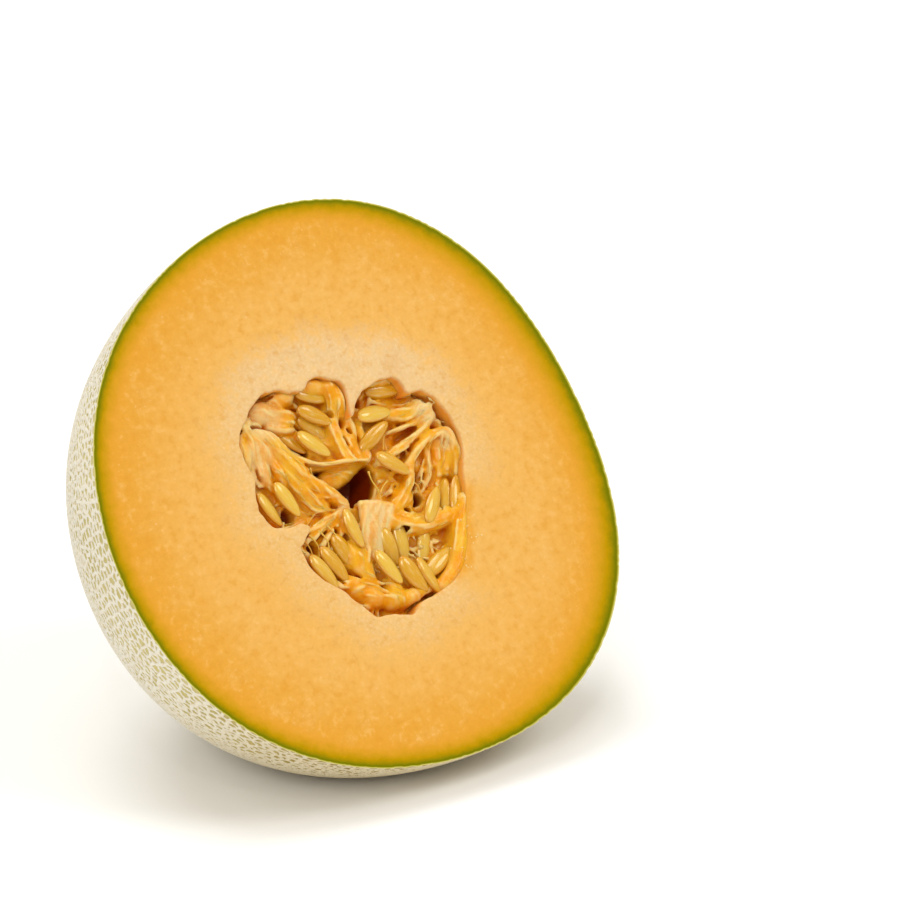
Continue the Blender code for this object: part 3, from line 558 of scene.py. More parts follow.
class Value:
    """A node's output. Arithmetic with it adds further nodes, for vectors where the output is one."""

    def __init__(self, graph, socket):
        self.graph = graph
        self.socket = socket
        self.is_vector = socket.type in ("VECTOR", "RGBA")

    def worked(self, operation, first, second):
        if not self.is_vector:
            return self.graph.math(operation, first, second)
        if isinstance(second, tuple) or getattr(second, "is_vector", False):
            inputs = {0: first, 1: second}
        else:
            operation, inputs = "SCALE", {"Vector": first, "Scale": second}
        return self.graph.add("ShaderNodeVectorMath", 0, inputs, operation=operation)

    def __add__(self, other):
        return self.worked("ADD", self, other)

    def __sub__(self, other):
        return self.worked("SUBTRACT", self, other)

    def __rsub__(self, other):
        return self.worked("SUBTRACT", other, self)

    def __mul__(self, other):
        return self.worked("MULTIPLY", self, other)

    def __truediv__(self, other):
        return self.worked("DIVIDE", self, other)

    def span(self, low, high, out_low=0.0, out_high=1.0):
        """The value eased from one span onto another."""
        inputs = dict(enumerate((self, low, high, out_low, out_high)))
        return self.graph.add("ShaderNodeMapRange", 0, inputs, interpolation_type="SMOOTHSTEP")


class Graph:
    """Adds nodes to a tree. Inputs are numbers, tuples or values. A colour is a value, three numbers
    from 0 to 255 as it should look on a screen, or four as nodes take them."""

    def __init__(self, tree):
        self.tree = tree

    def node(self, kind, inputs, **settings):
        node = self.tree.nodes.new(kind)
        for key, value in settings.items():
            setattr(node, key, value)
        for key, value in inputs.items():
            self.feed(node.inputs[key], value)
        return node

    def add(self, kind, output, inputs=None, **settings):
        return Value(self, self.node(kind, inputs or {}, **settings).outputs[output])

    def feed(self, socket, value):
        if isinstance(value, Value):
            self.tree.links.new(value.socket, socket)
        else:
            socket.default_value = value

    def math(self, operation, *values):
        return self.add("ShaderNodeMath", 0, dict(enumerate(values)), operation=operation)

    def length(self, vector):
        return self.add("ShaderNodeVectorMath", "Value", {0: vector}, operation="LENGTH")

    def across(self, place):
        """Distance from the axis through the pole."""
        return self.length(place * (1.0, 1.0, 0.0))

    def split(self, vector):
        return [Value(self, output) for output in self.node("ShaderNodeSeparateXYZ", {0: vector}).outputs]

    def joined(self, *parts):
        return self.add("ShaderNodeCombineXYZ", 0, dict(enumerate(parts)))

    def on_circle(self, angle, reach):
        return [self.math(operation, angle) * reach for operation in ("COSINE", "SINE")]

    def stored(self, name, output="Fac"):
        return self.add("ShaderNodeAttribute", output, attribute_name=name)

    def choose(self, share, first, second):
        return self.add("ShaderNodeMix", 0, {0: share, 2: first, 3: second}, data_type="FLOAT")

    def noise(self, place, pitch, detail=2.0, roughness=0.5, output=0):
        inputs = {"Vector": place, "Scale": 1.0 / pitch, "Detail": detail, "Roughness": roughness}
        return self.add("ShaderNodeTexNoise", output, inputs)

    def blend(self, share, first, second, how="MIX"):
        inputs = {0: share, 6: tint(first), 7: tint(second)}
        return self.add("ShaderNodeMix", 2, inputs, data_type="RGBA", blend_type=how)

    def layered(self, colour, *layers):
        """A colour with others laid over it in turn, each given with its share."""
        for share, other in layers:
            colour = self.blend(share, colour, other)
        return colour

    def ramp(self, value, *stops):
        node = self.node("ShaderNodeValToRGB", {0: value})
        elements = node.color_ramp.elements
        while len(elements) < len(stops):
            elements.new(1.0)
        for element, (place, colour) in zip(elements, stops):
            element.position = place
            element.color = tint(colour)
        return Value(self, node.outputs[0])

    def finish(self, colour, sockets, height=None, strength=1.0, distance=MM):
        """Set the surface's colour and other sockets, and its fine relief where a height is given."""
        shader = self.tree.nodes["Principled BSDF"]
        for key, value in {"Base Color": colour, **sockets}.items():
            self.feed(shader.inputs[key], value)
        if height is not None:
            inputs = {"Height": height, "Strength": strength, "Distance": distance}
            self.feed(shader.inputs["Normal"], self.add("ShaderNodeBump", 0, inputs))


def tint(colour):
    """A colour as shaders take it here, where it is given as it should look on a screen."""
    if isinstance(colour, Value) or len(colour) == 4:
        return colour
    shares = [value / 255.0 for value in colour]
    linear = [share / 12.92 if share <= 0.04045 else ((share + 0.055) / 1.055) ** 2.4 for share in shares]
    return (*[value / LIGHT_GAIN for value in linear], 1.0)


# Net of the rind, shared by the relief and the colour

def net_sheets(graph, place):
    """Where a point lies on two flat sheets, one rolled round the side and one laid over the pole.

    Also its gap to the line where the rolled sheet meets itself.
    """
    warp = graph.noise(place, NET_WARP_PITCH, output="Color") - (0.5, 0.5, 0.5)
    bent = place + warp * (NET_WARP * 2.0)
    across, up, out = graph.split(bent)
    angle = graph.math("ARCTAN2", across, up)
    back = graph.math("ARCTAN2", out * -1.0, graph.across(bent)) * NET_ROUND
    side = graph.joined(angle * (NET_ROUND * NET_SIDE_SHARE), back)
    away = NET_ROUND * math.pi / 2.0 - NET_POLE_DRAWN_IN - back
    meeting = (math.pi - graph.math("ABSOLUTE", angle)) * NET_ROUND
    return side, graph.joined(*graph.on_circle(angle, away)), meeting


def net_cells(graph, sheet, feature, output):
    inputs = {"Vector": sheet, "Scale": 1.0 / NET_PITCH, "Randomness": NET_RANDOMNESS}
    return graph.add("ShaderNodeTexVoronoi", output, inputs, feature=feature, voronoi_dimensions="2D")


def net_height(graph, place, reach):
    """Height of the net and of the scar's rings, from 0 on the skin to 1 on a ridge."""
    side, pole, meeting = net_sheets(graph, place)
    middle = graph.split(net_cells(graph, side, "F1", "Position"))[1]
    near_pole = graph.math("GREATER_THAN", middle, NET_SIDE_END)
    edges = [net_cells(graph, sheet, "DISTANCE_TO_EDGE", "Distance") * NET_PITCH for sheet in (side, pole)]
    edge = graph.choose(near_pole, graph.math("MINIMUM", edges[0], meeting), edges[1])
    width = graph.noise(place, NET_UNEVEN_PITCH).span(0.3, 0.7, *NET_HALF_WIDTHS)
    ridge = edge.span(width - NET_SOFTNESS, width + NET_SOFTNESS, 1.0, 0.0)
    return graph.math("MAXIMUM", ridge * reach.span(*SCAR_BARE), scar_rings(graph, place, reach))


def scar_rings(graph, place, reach):
    """Height of the corky rings that lie round the stem scar, oval and broken in places."""
    across, up, out = graph.split(place)
    angle = graph.math("ARCTAN2", up, across)
    away = reach + (graph.noise(place, 6.0, 2.0) - 0.5) * SCAR_RING_SWAY
    highest = 0.0
    for index, (radius, oval, turn, width, broken) in enumerate(SCAR_RINGS):
        middle = graph.math("COSINE", angle * 2.0 + 2.0 * turn) * oval + radius
        ring = graph.math("ABSOLUTE", away - middle).span(width, width + SCAR_RING_EDGE, 1.0, 0.0)
        kept = graph.noise(place + (9.0 * index, 0.0, 0.0), 5.0, 1.0).span(broken - 0.06, broken + 0.06)
        highest = graph.math("MAXIMUM", highest, ring * kept)
    return highest * graph.math("LESS_THAN", out, 0.0)


def sampled_net(points):
    """Height of the net at each point, evaluated by geometry nodes."""
    tree = bpy.data.node_groups.new("net_sampler", "GeometryNodeTree")
    for way in ("INPUT", "OUTPUT"):
        tree.interface.new_socket("Geometry", in_out=way, socket_type="NodeSocketGeometry")
    graph = Graph(tree)
    place = graph.add("GeometryNodeInputPosition", 0)
    inputs = {"Geometry": graph.add("NodeGroupInput", 0), "Name": "net",
              "Value": net_height(graph, place, graph.across(place))}
    store = graph.add("GeometryNodeStoreNamedAttribute", 0, inputs, data_type="FLOAT", domain="POINT")
    graph.node("NodeGroupOutput", {0: store})
    mesh = bpy.data.meshes.new("net_sampler")
    mesh.from_pydata(points.tolist(), [], [])
    thing = bpy.data.objects.new("net_sampler", mesh)
    bpy.context.scene.collection.objects.link(thing)
    thing.modifiers.new("net", "NODES").node_group = tree
    result = thing.evaluated_get(bpy.context.evaluated_depsgraph_get()).data
    values = np.zeros(len(points), np.float32)
    result.attributes["net"].data.foreach_get("value", values)
    bpy.data.objects.remove(thing)
    bpy.data.meshes.remove(mesh)
    bpy.data.node_groups.remove(tree)
    return values


# Melon half: rind, cut face and cavity wall in one closed skin

def disc_grid(count):
    """A square grid laid over a disc: share of the radius and angle of each point."""
    side = np.linspace(-1.0, 1.0, count + 1)
    first, second = [part.ravel() for part in np.meshgrid(side, side, indexing="ij")]
    wide = np.abs(first) > np.abs(second)
    major = np.where(wide, first, second)
    minor = np.where(wide, second, first)
    slant = (math.pi / 4.0) * np.divide(minor, major, out=np.zeros_like(major), where=major != 0.0)
    angle = np.where(wide, slant, math.pi / 2.0 - slant)
    return np.abs(major), np.arctan2(np.sign(major) * np.sin(angle), np.sign(major) * np.cos(angle))


def rind_shape():
    """Rest place (across, up, out) of each rind point, and the direction out of the rind there."""
    share, angle = disc_grid(RIND_GRID)
    bend = np.linspace(0.0, math.pi / 2.0, PROFILE_STEPS)
    wide_steps = np.sin(bend) ** (2.0 / PROFILE_POWER)
    deep_steps = np.cos(bend).clip(0.0) ** (2.0 / PROFILE_POWER)
    steps = np.hypot(np.diff(wide_steps) * EQUATOR_RADIUS, np.diff(deep_steps) * HALF_DEPTH)
    length = np.concatenate(([0.0], np.cumsum(steps)))
    wide, deep = [np.interp(share, length / length[-1], table) for table in (wide_steps, deep_steps)]
    level = wide * face_radius(angle)
    rest = np.stack((level * np.cos(angle), level * np.sin(angle), -deep * HALF_DEPTH), 1)
    side = wide ** (PROFILE_POWER - 1.0) / EQUATOR_RADIUS
    back = deep ** (PROFILE_POWER - 1.0) / HALF_DEPTH
    size = np.hypot(side, back)
    return rest, np.stack((side / size * np.cos(angle), side / size * np.sin(angle), -back / size), 1)


def scar_relief(rest):
    """Height of the stem scar above the bare rind: a dished disc with a cracked corky core."""
    reach = np.hypot(rest[:, 0], rest[:, 1])
    angle = np.arctan2(rest[:, 1], rest[:, 0])
    start, end = SCAR_CRACK_REACH
    swing = SCAR_CRACK_SWING * np.sin(3.0 * angle + 1.0) + SCAR_CRACK_BEND * np.sin(0.9 * reach)
    star = np.abs(np.sin(SCAR_CRACK_TURN * angle + swing))
    height = sum(rise * smooth_share((edge - reach) / width) for rise, edge, width in SCAR_STEPS)
    cracked = smooth_share((reach - start) / 1.5) * smooth_share((end - reach) / 2.0)
    height += 0.4 * smooth_share((1.3 - star * reach) / 0.9) * cracked + bump(reach, *SCAR_COLLAR)
    height += np.sin(23.0 * angle + 2.0 * np.sin(5.0 * angle)) * bump(reach, *SCAR_FOLDS)
    return np.where(rest[:, 2] < 0.0, height, 0.0)


def settle(points):
    """Lower the underside where the weight rests, and stop it at the ground."""
    wide, long = GROUND_BULGE_SPREAD
    away = (points[:, 0] / wide) ** 2 + ((points[:, 1] - GROUND_BULGE_BACK) / long) ** 2
    low = smooth_share((GROUND_BULGE_TOP - points[:, 2]) / GROUND_BULGE_TOP)
    points[:, 2] = np.maximum(points[:, 2] - GROUND_BULGE * np.exp(-away) * low, 0.0)
    return points


def rim_order(count):
    """Indices of the grid's border, in order around it."""
    row, step = count + 1, np.arange(count)
    return np.concatenate((step * row, count * row + step, (count - step) * row + count, count - step))


def loop_turn(loop):
    return np.arange(len(loop)) / len(loop) * 2.0 * math.pi


def cavity_loop():
    """The cavity's edge on the cut face, a little ragged."""
    loop = closed_curve(CAVITY_OUTLINE, CAVITY_STEPS)
    turn = loop_turn(loop)
    ragged = sum(swing * np.sin(waves * turn + start) for swing, waves, start in CAVITY_TEARS)
    return loop + loop_outward(loop) * ragged[:, None]


def cavity_wall(loop):
    """Rings of the cavity's wall as across, up and depth, from the lip to the bottom."""
    outward = loop_outward(loop)
    turn = loop_turn(loop)
    rings = []
    for depth, share, proud in CAVITY_RINGS:
        ring = CAVITY_MIDDLE + (loop - CAVITY_MIDDLE) * share + outward * proud
        streak = sum(swing * np.sin(waves * turn + start * depth) for swing, waves, start in WALL_STREAKS)
        ring = ring + outward * (streak * min(depth / 3.0, 1.0))[:, None]
        for _ in range(LIP_EASING):
            ring = 0.5 * ring + 0.25 * (np.roll(ring, 1, 0) + np.roll(ring, -1, 0))
        rings.append(np.column_stack((ring, np.full(len(ring), depth))))
    return rings


def face_points(rim, lip):
    """An even, slightly shaken spread of points on the cut face between its rim and the cavity."""
    draw = np.random.default_rng(DRAWS["face"])
    count = int(EQUATOR_RADIUS / FACE_PITCH) + 3
    first, second = np.meshgrid(np.arange(-count, count + 1), np.arange(-count, count + 1))
    spots = np.stack(((first + 0.5 * (second % 2)) * FACE_PITCH, second * FACE_PITCH * FACE_ROW), -1)
    spots = spots.reshape(-1, 2)
    spots = spots + draw.uniform(-FACE_SHAKE, FACE_SHAKE, spots.shape) * FACE_PITCH
    from_rim, from_lip = FACE_GAPS
    return spots[(loop_distance(spots, rim) < -from_rim) & (loop_distance(spots, lip) > from_lip)]


def cut_face(rim, lip):
    """Triangles between the rim and the cavity's lip, by index into rim, lip and the spread points."""
    spots = np.concatenate((rim, lip, face_points(rim, lip)))
    edges = []
    for start, count in ((0, len(rim)), (len(rim), len(lip))):
        edges += [(start + index, start + (index + 1) % count) for index in range(count)]
    made = delaunay_2d_cdt([Vector(spot) for spot in spots], edges, [], 0, 1e-5)
    names = []
    crossings = []
    for spot, sources in zip(made[0], made[3]):
        names.append(sources[0] if sources else len(spots) + len(crossings))
        crossings += [] if sources else [tuple(spot)]
    spots = np.concatenate((spots, np.array(crossings).reshape(-1, 2)))
    triangles = np.array([[names[corner] for corner in face] for face in made[2]])
    middles = spots[triangles].mean(1)
    keep = (loop_distance(middles, rim) < 0.0) & (loop_distance(middles, lip) > 0.0)
    return spots[len(rim) + len(lip):], triangles[keep]


def build_half(rind, flesh):
    rest, outward = rind_shape()
    relief = NET_RELIEF * (NET_RIM_SHARE + (1.0 - NET_RIM_SHARE) * smooth_share(-rest[:, 2] / 3.0))
    height = (sampled_net(rest) - 1.0) * relief + scar_relief(rest) + NET_CREST
    spots = rest + outward * height[:, None]
    rim_index = rim_order(RIND_GRID)
    spots[rim_index, 2] = 0.0
    row = RIND_GRID + 1
    corner = (np.arange(RIND_GRID)[:, None] * row + np.arange(RIND_GRID)).ravel()
    outer_faces = np.stack((corner, corner + row, corner + row + 1, corner + 1), 1).tolist()

    # Inside the rim: the rings of the wall, then the face's spread points and the wall's tip
    rim = spots[rim_index, :2]
    loop = cavity_loop()
    rings = cavity_wall(loop)
    spread, triangles = cut_face(rim, rings[0][:, :2])
    wall_start = len(rest)
    last_start = wall_start + (len(rings) - 1) * len(loop)
    spread_start = last_start + len(loop)
    lookup = np.concatenate((rim_index, wall_start + np.arange(len(loop)),
                             spread_start + np.arange(len(spread))))
    inner_faces = (lookup[triangles].tolist() + ring_faces(len(rings), len(loop), wall_start)
                   + fan_faces(len(loop), last_start, spread_start + len(spread)))
    tip = (*CAVITY_MIDDLE, CAVITY_RINGS[-1][0] + 1.0)
    inner = np.concatenate((*rings, np.column_stack((spread, np.zeros(len(spread)))), [tip]))
    points = np.concatenate((settle(on_face(*rest_place(spots).T)), on_face(*inner.T)))
    rest = np.concatenate((rest, rest_place(inner)))
    rim_gap = np.zeros(len(rest))
    rim_gap[wall_start:] = -loop_distance(inner[:, :2], rim)
    core_gap = np.full(len(rest), FAR_GAP)
    core_gap[wall_start:] = loop_distance(inner[:, :2], loop)
    core_gap[rim_index] = loop_distance(rim, loop)
    slots = [0] * len(outer_faces) + [1] * len(inner_faces)
    half = add_mesh("melon_half_skin", points, outer_faces + inner_faces, [rind, flesh], slots,
                    {"rest": rest, "rim_gap": rim_gap, "core_gap": core_gap})
    turn_outward(half)
    crease(half, rim_index)
    return half


# Pulp: a distance field over the cavity, joined from bands, strands and lumps, then given a skin

class Field:
    """Signed distances over a box of the cavity (across, up, depth), less than 0 in the pulp."""

    def __init__(self, low, high, step):
        self.low = np.array(low)
        self.step = step
        self.axes = [np.arange(start, end + step / 2.0, step) for start, end in zip(low, high)]
        self.values = np.full([len(axis) for axis in self.axes], 9.0, np.float32)

    def window(self, low, high):
        """The part of the box between two corners, and its coordinates."""
        pick = tuple(slice(*np.searchsorted(axis, ends)) for axis, *ends in zip(self.axes, low, high))
        axes = [axis[part] for axis, part in zip(self.axes, pick)]
        return pick, np.meshgrid(*axes, indexing="ij", sparse=True)

    def join(self, pick, distance, blend):
        self.values[pick] = soft_min(self.values[pick], distance, blend)

    def cut(self, pick, distance, blend):
        self.values[pick] = -soft_min(-self.values[pick], distance, blend)

    def run_line(self, work, line, reach_down, blend, margin=LINE_MARGIN):
        """Join or cut a line of (across, up, depth, radius), drawn down by some depth."""
        reach = line[:, 3].max() + (blend + margin)
        low, high = line[:, :3].min(0) - reach, line[:, :3].max(0) + reach
        high[2] += reach_down
        pick, places = self.window(low, high)
        work(pick, line_distance(places, line, reach_down), blend)

    def set_lump(self, work, spot, sizes, turns, blend):
        """Join or cut an ellipsoid, turned in the face and then dipped and rolled."""
        spot, reach = np.array(spot), max(sizes) + LUMP_MARGIN
        pick, places = self.window(spot - reach, spot + reach)
        work(pick, lump_distance(places, spot, sizes, *turns), blend)


def soft_min(first, second, blend):
    near = np.maximum(blend - np.abs(first - second), 0.0) / blend
    return np.minimum(first, second) - near * near * blend * 0.25


def line_distance(places, line, reach_down):
    best = None
    for start, end in zip(line[:-1], line[1:]):
        way = end[:3] - start[:3]
        offsets = [place - coordinate for place, coordinate in zip(places, start)]
        flat = way[0] ** 2 + way[1] ** 2 if reach_down > 0.0 else way @ way
        along = offsets[0] * way[0] + offsets[1] * way[1]
        if reach_down <= 0.0:
            along = along + offsets[2] * way[2]
        share = np.clip(along / max(flat, 1e-9), 0.0, 1.0)
        below = offsets[2] - share * way[2]
        if reach_down > 0.0:
            below = below - np.clip(below, 0.0, reach_down)
        gap = np.sqrt((offsets[0] - share * way[0]) ** 2 + (offsets[1] - share * way[1]) ** 2 + below ** 2)
        gap = gap - (start[3] + share * (end[3] - start[3]))
        best = gap if best is None else np.minimum(best, gap)
    return best


def lump_distance(places, spot, sizes, turn, dip=0.0, roll=0.0):
    along, side, down = [place - coordinate for place, coordinate in zip(places, spot)]
    along, side = turned(along, side, -math.radians(turn))
    along, down = turned(along, down, -math.radians(dip))
    side, down = turned(side, down, -math.radians(roll))
    axes = list(zip((along, side, down), sizes))
    scaled, slope = [np.sqrt(sum((place / size ** power) ** 2 for place, size in axes)) for power in (1, 2)]
    return scaled * (scaled - 1.0) / np.maximum(slope, 1e-6)


def join_fibres(field, line, count, draw):
    """Loose fibres that run along a strand's upper side."""
    ways = unit(np.gradient(line[:, :2], axis=0))
    sides = np.stack((-ways[:, 1], ways[:, 0]), 1)
    share = np.linspace(0.0, 1.0, len(line))
    for _ in range(count):
        lean = draw.uniform(-1.25, 1.25) + draw.uniform(-0.5, 0.5) * (share - 0.5)
        away = line[:, 3] * draw.uniform(0.84, 1.0)
        thick = draw.uniform(0.24, 0.42)
        start, end = sorted(draw.uniform(0.0, 1.0, 2))
        end = max(end, min(start + 0.35, 1.0))
        fibre = np.column_stack((line[:, :2] + sides * (away * np.sin(lean))[:, None],
                                 line[:, 2] - away * np.cos(lean), np.full(len(line), thick)))
        fibre = fibre[(share >= start) & (share <= end)]
        if len(fibre) > 1:
            field.run_line(field.join, fibre, 0.0, BLENDS["fibre"])


def smooth_noise(shape, pitch, draw):
    """Soft noise between -1 and 1 over the pulp's grid."""
    counts = [int(size * PULP_STEP / pitch) + 3 for size in shape]
    lattice = draw.uniform(-1.0, 1.0, counts).astype(np.float32)
    for axis, size in enumerate(shape):
        place = np.arange(size) * PULP_STEP / pitch
        cell = place.astype(int)
        form = [1, 1, 1]
        form[axis] = size
        share = smooth_share(place - cell).astype(np.float32).reshape(form)
        lattice = np.take(lattice, cell, axis) * (1.0 - share) + np.take(lattice, cell + 1, axis) * share
    return lattice


def bed_fibres(field, draw):
    """Short strands over the bed that run from the hollow outwards."""
    share = np.linspace(-0.5, 0.5, 6)
    nearest, further = BED_FIBRE_REACH
    for _ in range(BED_FIBRES):
        angle = draw.uniform(0.0, 2.0 * math.pi)
        reach = nearest + further * math.sqrt(draw.uniform(0.0, 1.0))
        spot = CAVITY_MIDDLE + reach * np.array((math.cos(angle), math.sin(angle)))
        heading = angle + draw.normal(0.0, BED_FIBRE_TURN)
        length = draw.uniform(*BED_FIBRE_LENGTHS)
        course = heading + draw.normal(0.0, BED_FIBRE_TURN) * share
        depth = BED_DEPTH + draw.uniform(*BED_FIBRE_DEPTHS) + draw.normal(0.0, 0.5) * share * 2.0
        radius = draw.uniform(*BED_FIBRE_RADII) * (1.0 - 1.4 * share ** 2)
        line = np.column_stack((spot[0] + length * share * np.cos(course),
                                spot[1] + length * share * np.sin(course), depth, radius))
        field.run_line(field.join, line, 0.0, BLENDS["bed fibre"])


def build_field():
    """The pulp's distances, the direction of its grain and the grain's streaks over the face."""
    field = Field(PULP_LOW, PULP_HIGH, PULP_STEP)
    draw = np.random.default_rng(DRAWS["pulp"])
    shape = field.values.shape
    wave = BED_WAVE * smooth_noise(shape, BED_WAVE_PITCH, draw)[:, :, :1]
    field.values = ((BED_DEPTH + wave - field.axes[2]) * BED_SLOPE).astype(np.float32)
    bed_fibres(field, draw)
    for *spot, sizes, turn in LUMPS:
        field.set_lump(field.join, spot, sizes, (turn,), BLENDS["lump"])
    for seeds, spare, thicker, sunk in SEED_BEDS:
        sizes = (SEED_LENGTH / 2 + spare, SEED_WIDTH / 2 + spare, SEED_THICKNESS / 2 + thicker)
        for across, up, depth, *turns in seeds:
            field.set_lump(field.join, (across, up, depth + sunk), sizes, turns, BLENDS["seed"])
    for line, reach_down, fibres in STRANDS:
        line = open_curve(line, 6)
        field.run_line(field.join, line, reach_down, BLENDS["strand"])
        join_fibres(field, line, fibres, draw)
    cut_hollow(field)
    for *spot, sizes, turn in PITS:
        field.set_lump(field.cut, spot, sizes, (turn,), BLENDS["pit"])
    for line, reach_down in CLEFTS:
        field.run_line(field.cut, open_curve(line, 5), reach_down, BLENDS["cleft"], CLEFT_MARGIN)
    add_membrane(field, draw)
    field.values += sum(swing * smooth_noise(shape, pitch, draw) for swing, pitch in PULP_NOISE)
    angle = flow_angle(field.axes[0], field.axes[1])
    for line in filament_lines(field, angle, RIDGES, RIDGE_RADII, draw):
        field.run_line(field.join, line, 0.0, BLENDS["ridge"])
    streaks = grain_streaks(angle, draw)
    field.values += (GRAIN_RELIEF * streaks[:, :, None]).astype(np.float32)
    trim(field)
    return field, angle, streaks


def cut_hollow(field):
    pick, (across, up, depth) = field.window(*HOLLOW_BOX)
    gap = grid_distance(across.ravel(), up.ravel(), closed_curve(HOLLOW, 3))[:, :, None]
    narrow = HOLLOW_TAPER * (depth - 3.0) + HOLLOW_BOWL * np.maximum(depth - 7.0, 0.0) ** 2
    field.cut(pick, gap + narrow, BLENDS["hollow"])
    field.set_lump(field.join, *SHELF, BLENDS["shelf"])


def add_membrane(field, draw):
    top, end = open_curve(MEMBRANE_TOP, 7), open_curve(MEMBRANE_END, 7)
    for share in np.arange(MEMBRANE_FIBRES) / (MEMBRANE_FIBRES - 1):
        start, stop = [line[int(round(share * (len(line) - 1)))] for line in (top, end)]
        middle = 0.55 * start + 0.45 * stop + (draw.normal(0.0, 0.3), draw.normal(0.0, 0.3), -0.3)
        line = np.column_stack((open_curve((start, middle, stop), 5), np.linspace(0.75, 0.42, 11)))
        field.run_line(field.join, line, 0.0, BLENDS["membrane"])
    edge = np.column_stack((top, np.full(len(top), 0.75)))
    field.run_line(field.join, edge, 2.0, BLENDS["membrane edge"])


def trim(field):
    """Keep the pulp in the cavity, tucked a little into its wall."""
    across, up, depth = field.axes
    gap = grid_distance(across, up, closed_curve(CAVITY_OUTLINE, 5))
    wall = gap[:, :, None] - PULP_OVERLAP * np.clip(depth / 0.8, 0.0, 1.0)
    for limit in (wall, 0.2 - depth, depth - PULP_FLOOR):
        field.values = np.maximum(field.values, limit)
    field.values = field.values.astype(np.float32)


# Grain and loose filaments of the pulp

def silk_share(points):
    """How pale and silky the pulp is at points: on its knobs and on the membrane."""
    share = np.zeros(len(points))
    for across, up, reach in SILK:
        gap = np.hypot(points[:, 0] - across, points[:, 1] - up)
        share = np.maximum(share, smooth_share((reach - gap) / (SILK_FADE * reach)))
    sheet = np.array(MEMBRANE_TOP + MEMBRANE_END[::-1])[:, :2]
    share = np.maximum(share, smooth_share((0.6 - loop_distance(points[:, :2], sheet)) / 1.6))
    deepest, fade = SILK_DEPTH
    return share * smooth_share((deepest - points[:, 2]) / fade)


def flow_lines():
    """The strands' courses on the face, which the grain follows."""
    lines = [open_curve(line, 4)[:, :2] for line, _, _ in STRANDS]
    top, end = open_curve(MEMBRANE_TOP, 4), open_curve(MEMBRANE_END, 4)
    share = np.linspace(0.0, 1.0, 8)[:, None]
    return lines + [start[:2] * (1.0 - share) + stop[:2] * share for start, stop in zip(top, end)]


def flow_angle(across, up):
    """Direction of the pulp's grain over a grid on the face."""
    spots = np.stack(np.meshgrid(across, up, indexing="ij"), -1).astype(np.float32)
    outward = spots - CAVITY_MIDDLE
    sums = 0.02 * np.exp(2j * np.arctan2(outward[..., 1], outward[..., 0]))
    for line in flow_lines():
        for start, stop in zip(line[:-1], line[1:]):
            way = stop - start
            gap = ((spots - 0.5 * (start + stop)) ** 2).sum(-1)
            turn = 2.0 * math.atan2(way[1], way[0])
            heading = complex(math.cos(turn), math.sin(turn))
            sums += np.hypot(*way) * np.exp(-gap / FLOW_SPREAD ** 2) * heading
    return 0.5 * np.angle(sums)


def along_flow(angle, spot, way):
    """The next spot on the grid along the flow, and the way on from there."""
    limits = np.array(angle.shape)[:, None, None] - 1.0
    spot = np.clip(spot + way, 0.0, limits)
    cell = np.rint(spot).astype(int)
    turn = angle[cell[0], cell[1]]
    ahead = np.stack((np.cos(turn), np.sin(turn)))
    return spot, cell, np.where((ahead * way).sum(0) < 0.0, -ahead, ahead)


def grain_streaks(angle, draw):
    """Noise drawn out along the flow, about -1 to 1."""
    total = np.zeros(angle.shape)
    noise = draw.normal(size=angle.shape)
    noise = noise + blurred(draw.normal(size=angle.shape)[:, :, None].astype(np.float32), 1)[:, :, 0] * 6.0
    grid = np.stack(np.meshgrid(*[np.arange(size, dtype=float) for size in angle.shape], indexing="ij"))
    for side in (1.0, -1.0):
        spot, way = grid, side * np.stack((np.cos(angle), np.sin(angle)))
        for _ in range(GRAIN_STEPS):
            spot, cell, way = along_flow(angle, spot, way)
            total += noise[cell[0], cell[1]]
    return np.clip(total / (2.0 * total.std()), -1.2, 1.2)


def top_depth(field):
    """Depth of the pulp's upper surface over the face grid."""
    inside = field.values < 0.0
    first = np.clip(inside.argmax(2), 1, None)
    rows, columns = np.indices(first.shape)
    above, below = field.values[rows, columns, first - 1], field.values[rows, columns, first]
    depth = field.axes[2][first - 1] + np.clip(above / (above - below), 0.0, 1.0) * field.step
    return np.where(inside.any(2), depth, PULP_FLOOR)


def seed_shade(field):
    """Where seeds lie over the face grid."""
    grid = field.axes[0][:, None], field.axes[1][None, :]
    shade = np.zeros((len(field.axes[0]), len(field.axes[1])), bool)
    for across, up, _, turn, _, _ in SEEDS:
        along, side = turned(grid[0] - across, grid[1] - up, -math.radians(turn))
        shade |= (along * 2.0 / SEED_LENGTH) ** 2 + (side * 2.0 / SEED_WIDTH) ** 2 < 1.1
    return shade


def filament_lines(field, angle, count, radii, draw):
    """Courses of filaments, taut over the pulp along its flow, as across, up, depth and radius."""
    depth = top_depth(field)
    low, high = FILAMENT_GROUND
    open_ground = (depth > low) & (depth < high) & ~seed_shade(field)
    starts = np.argwhere(open_ground)
    lines = []
    for _ in range(count):
        spot = starts[draw.integers(len(starts))] + draw.uniform(-0.5, 0.5, 2)
        lean = draw.normal(0.0, FILAMENT_LEAN)
        course, way = [], None
        for _ in range(int(draw.uniform(*FILAMENT_STEPS))):
            cell = tuple(np.clip(np.rint(spot).astype(int), 0, np.array(depth.shape) - 1))
            if not open_ground[cell]:
                break
            course.append((*(spot * field.step + field.low[:2]), depth[cell]))
            turn = angle[cell] + lean + draw.normal(0.0, FILAMENT_SWAY)
            ahead = np.array((math.cos(turn), math.sin(turn)))
            way = ahead if way is None or ahead @ way > 0.0 else -ahead
            spot = spot + way * (FILAMENT_STEP / field.step)
        if len(course) > 4 and np.ptp([point[2] for point in course]) < FILAMENT_DROP:
            lines.append(taut(np.array(course), draw.uniform(*radii)))
    return lines


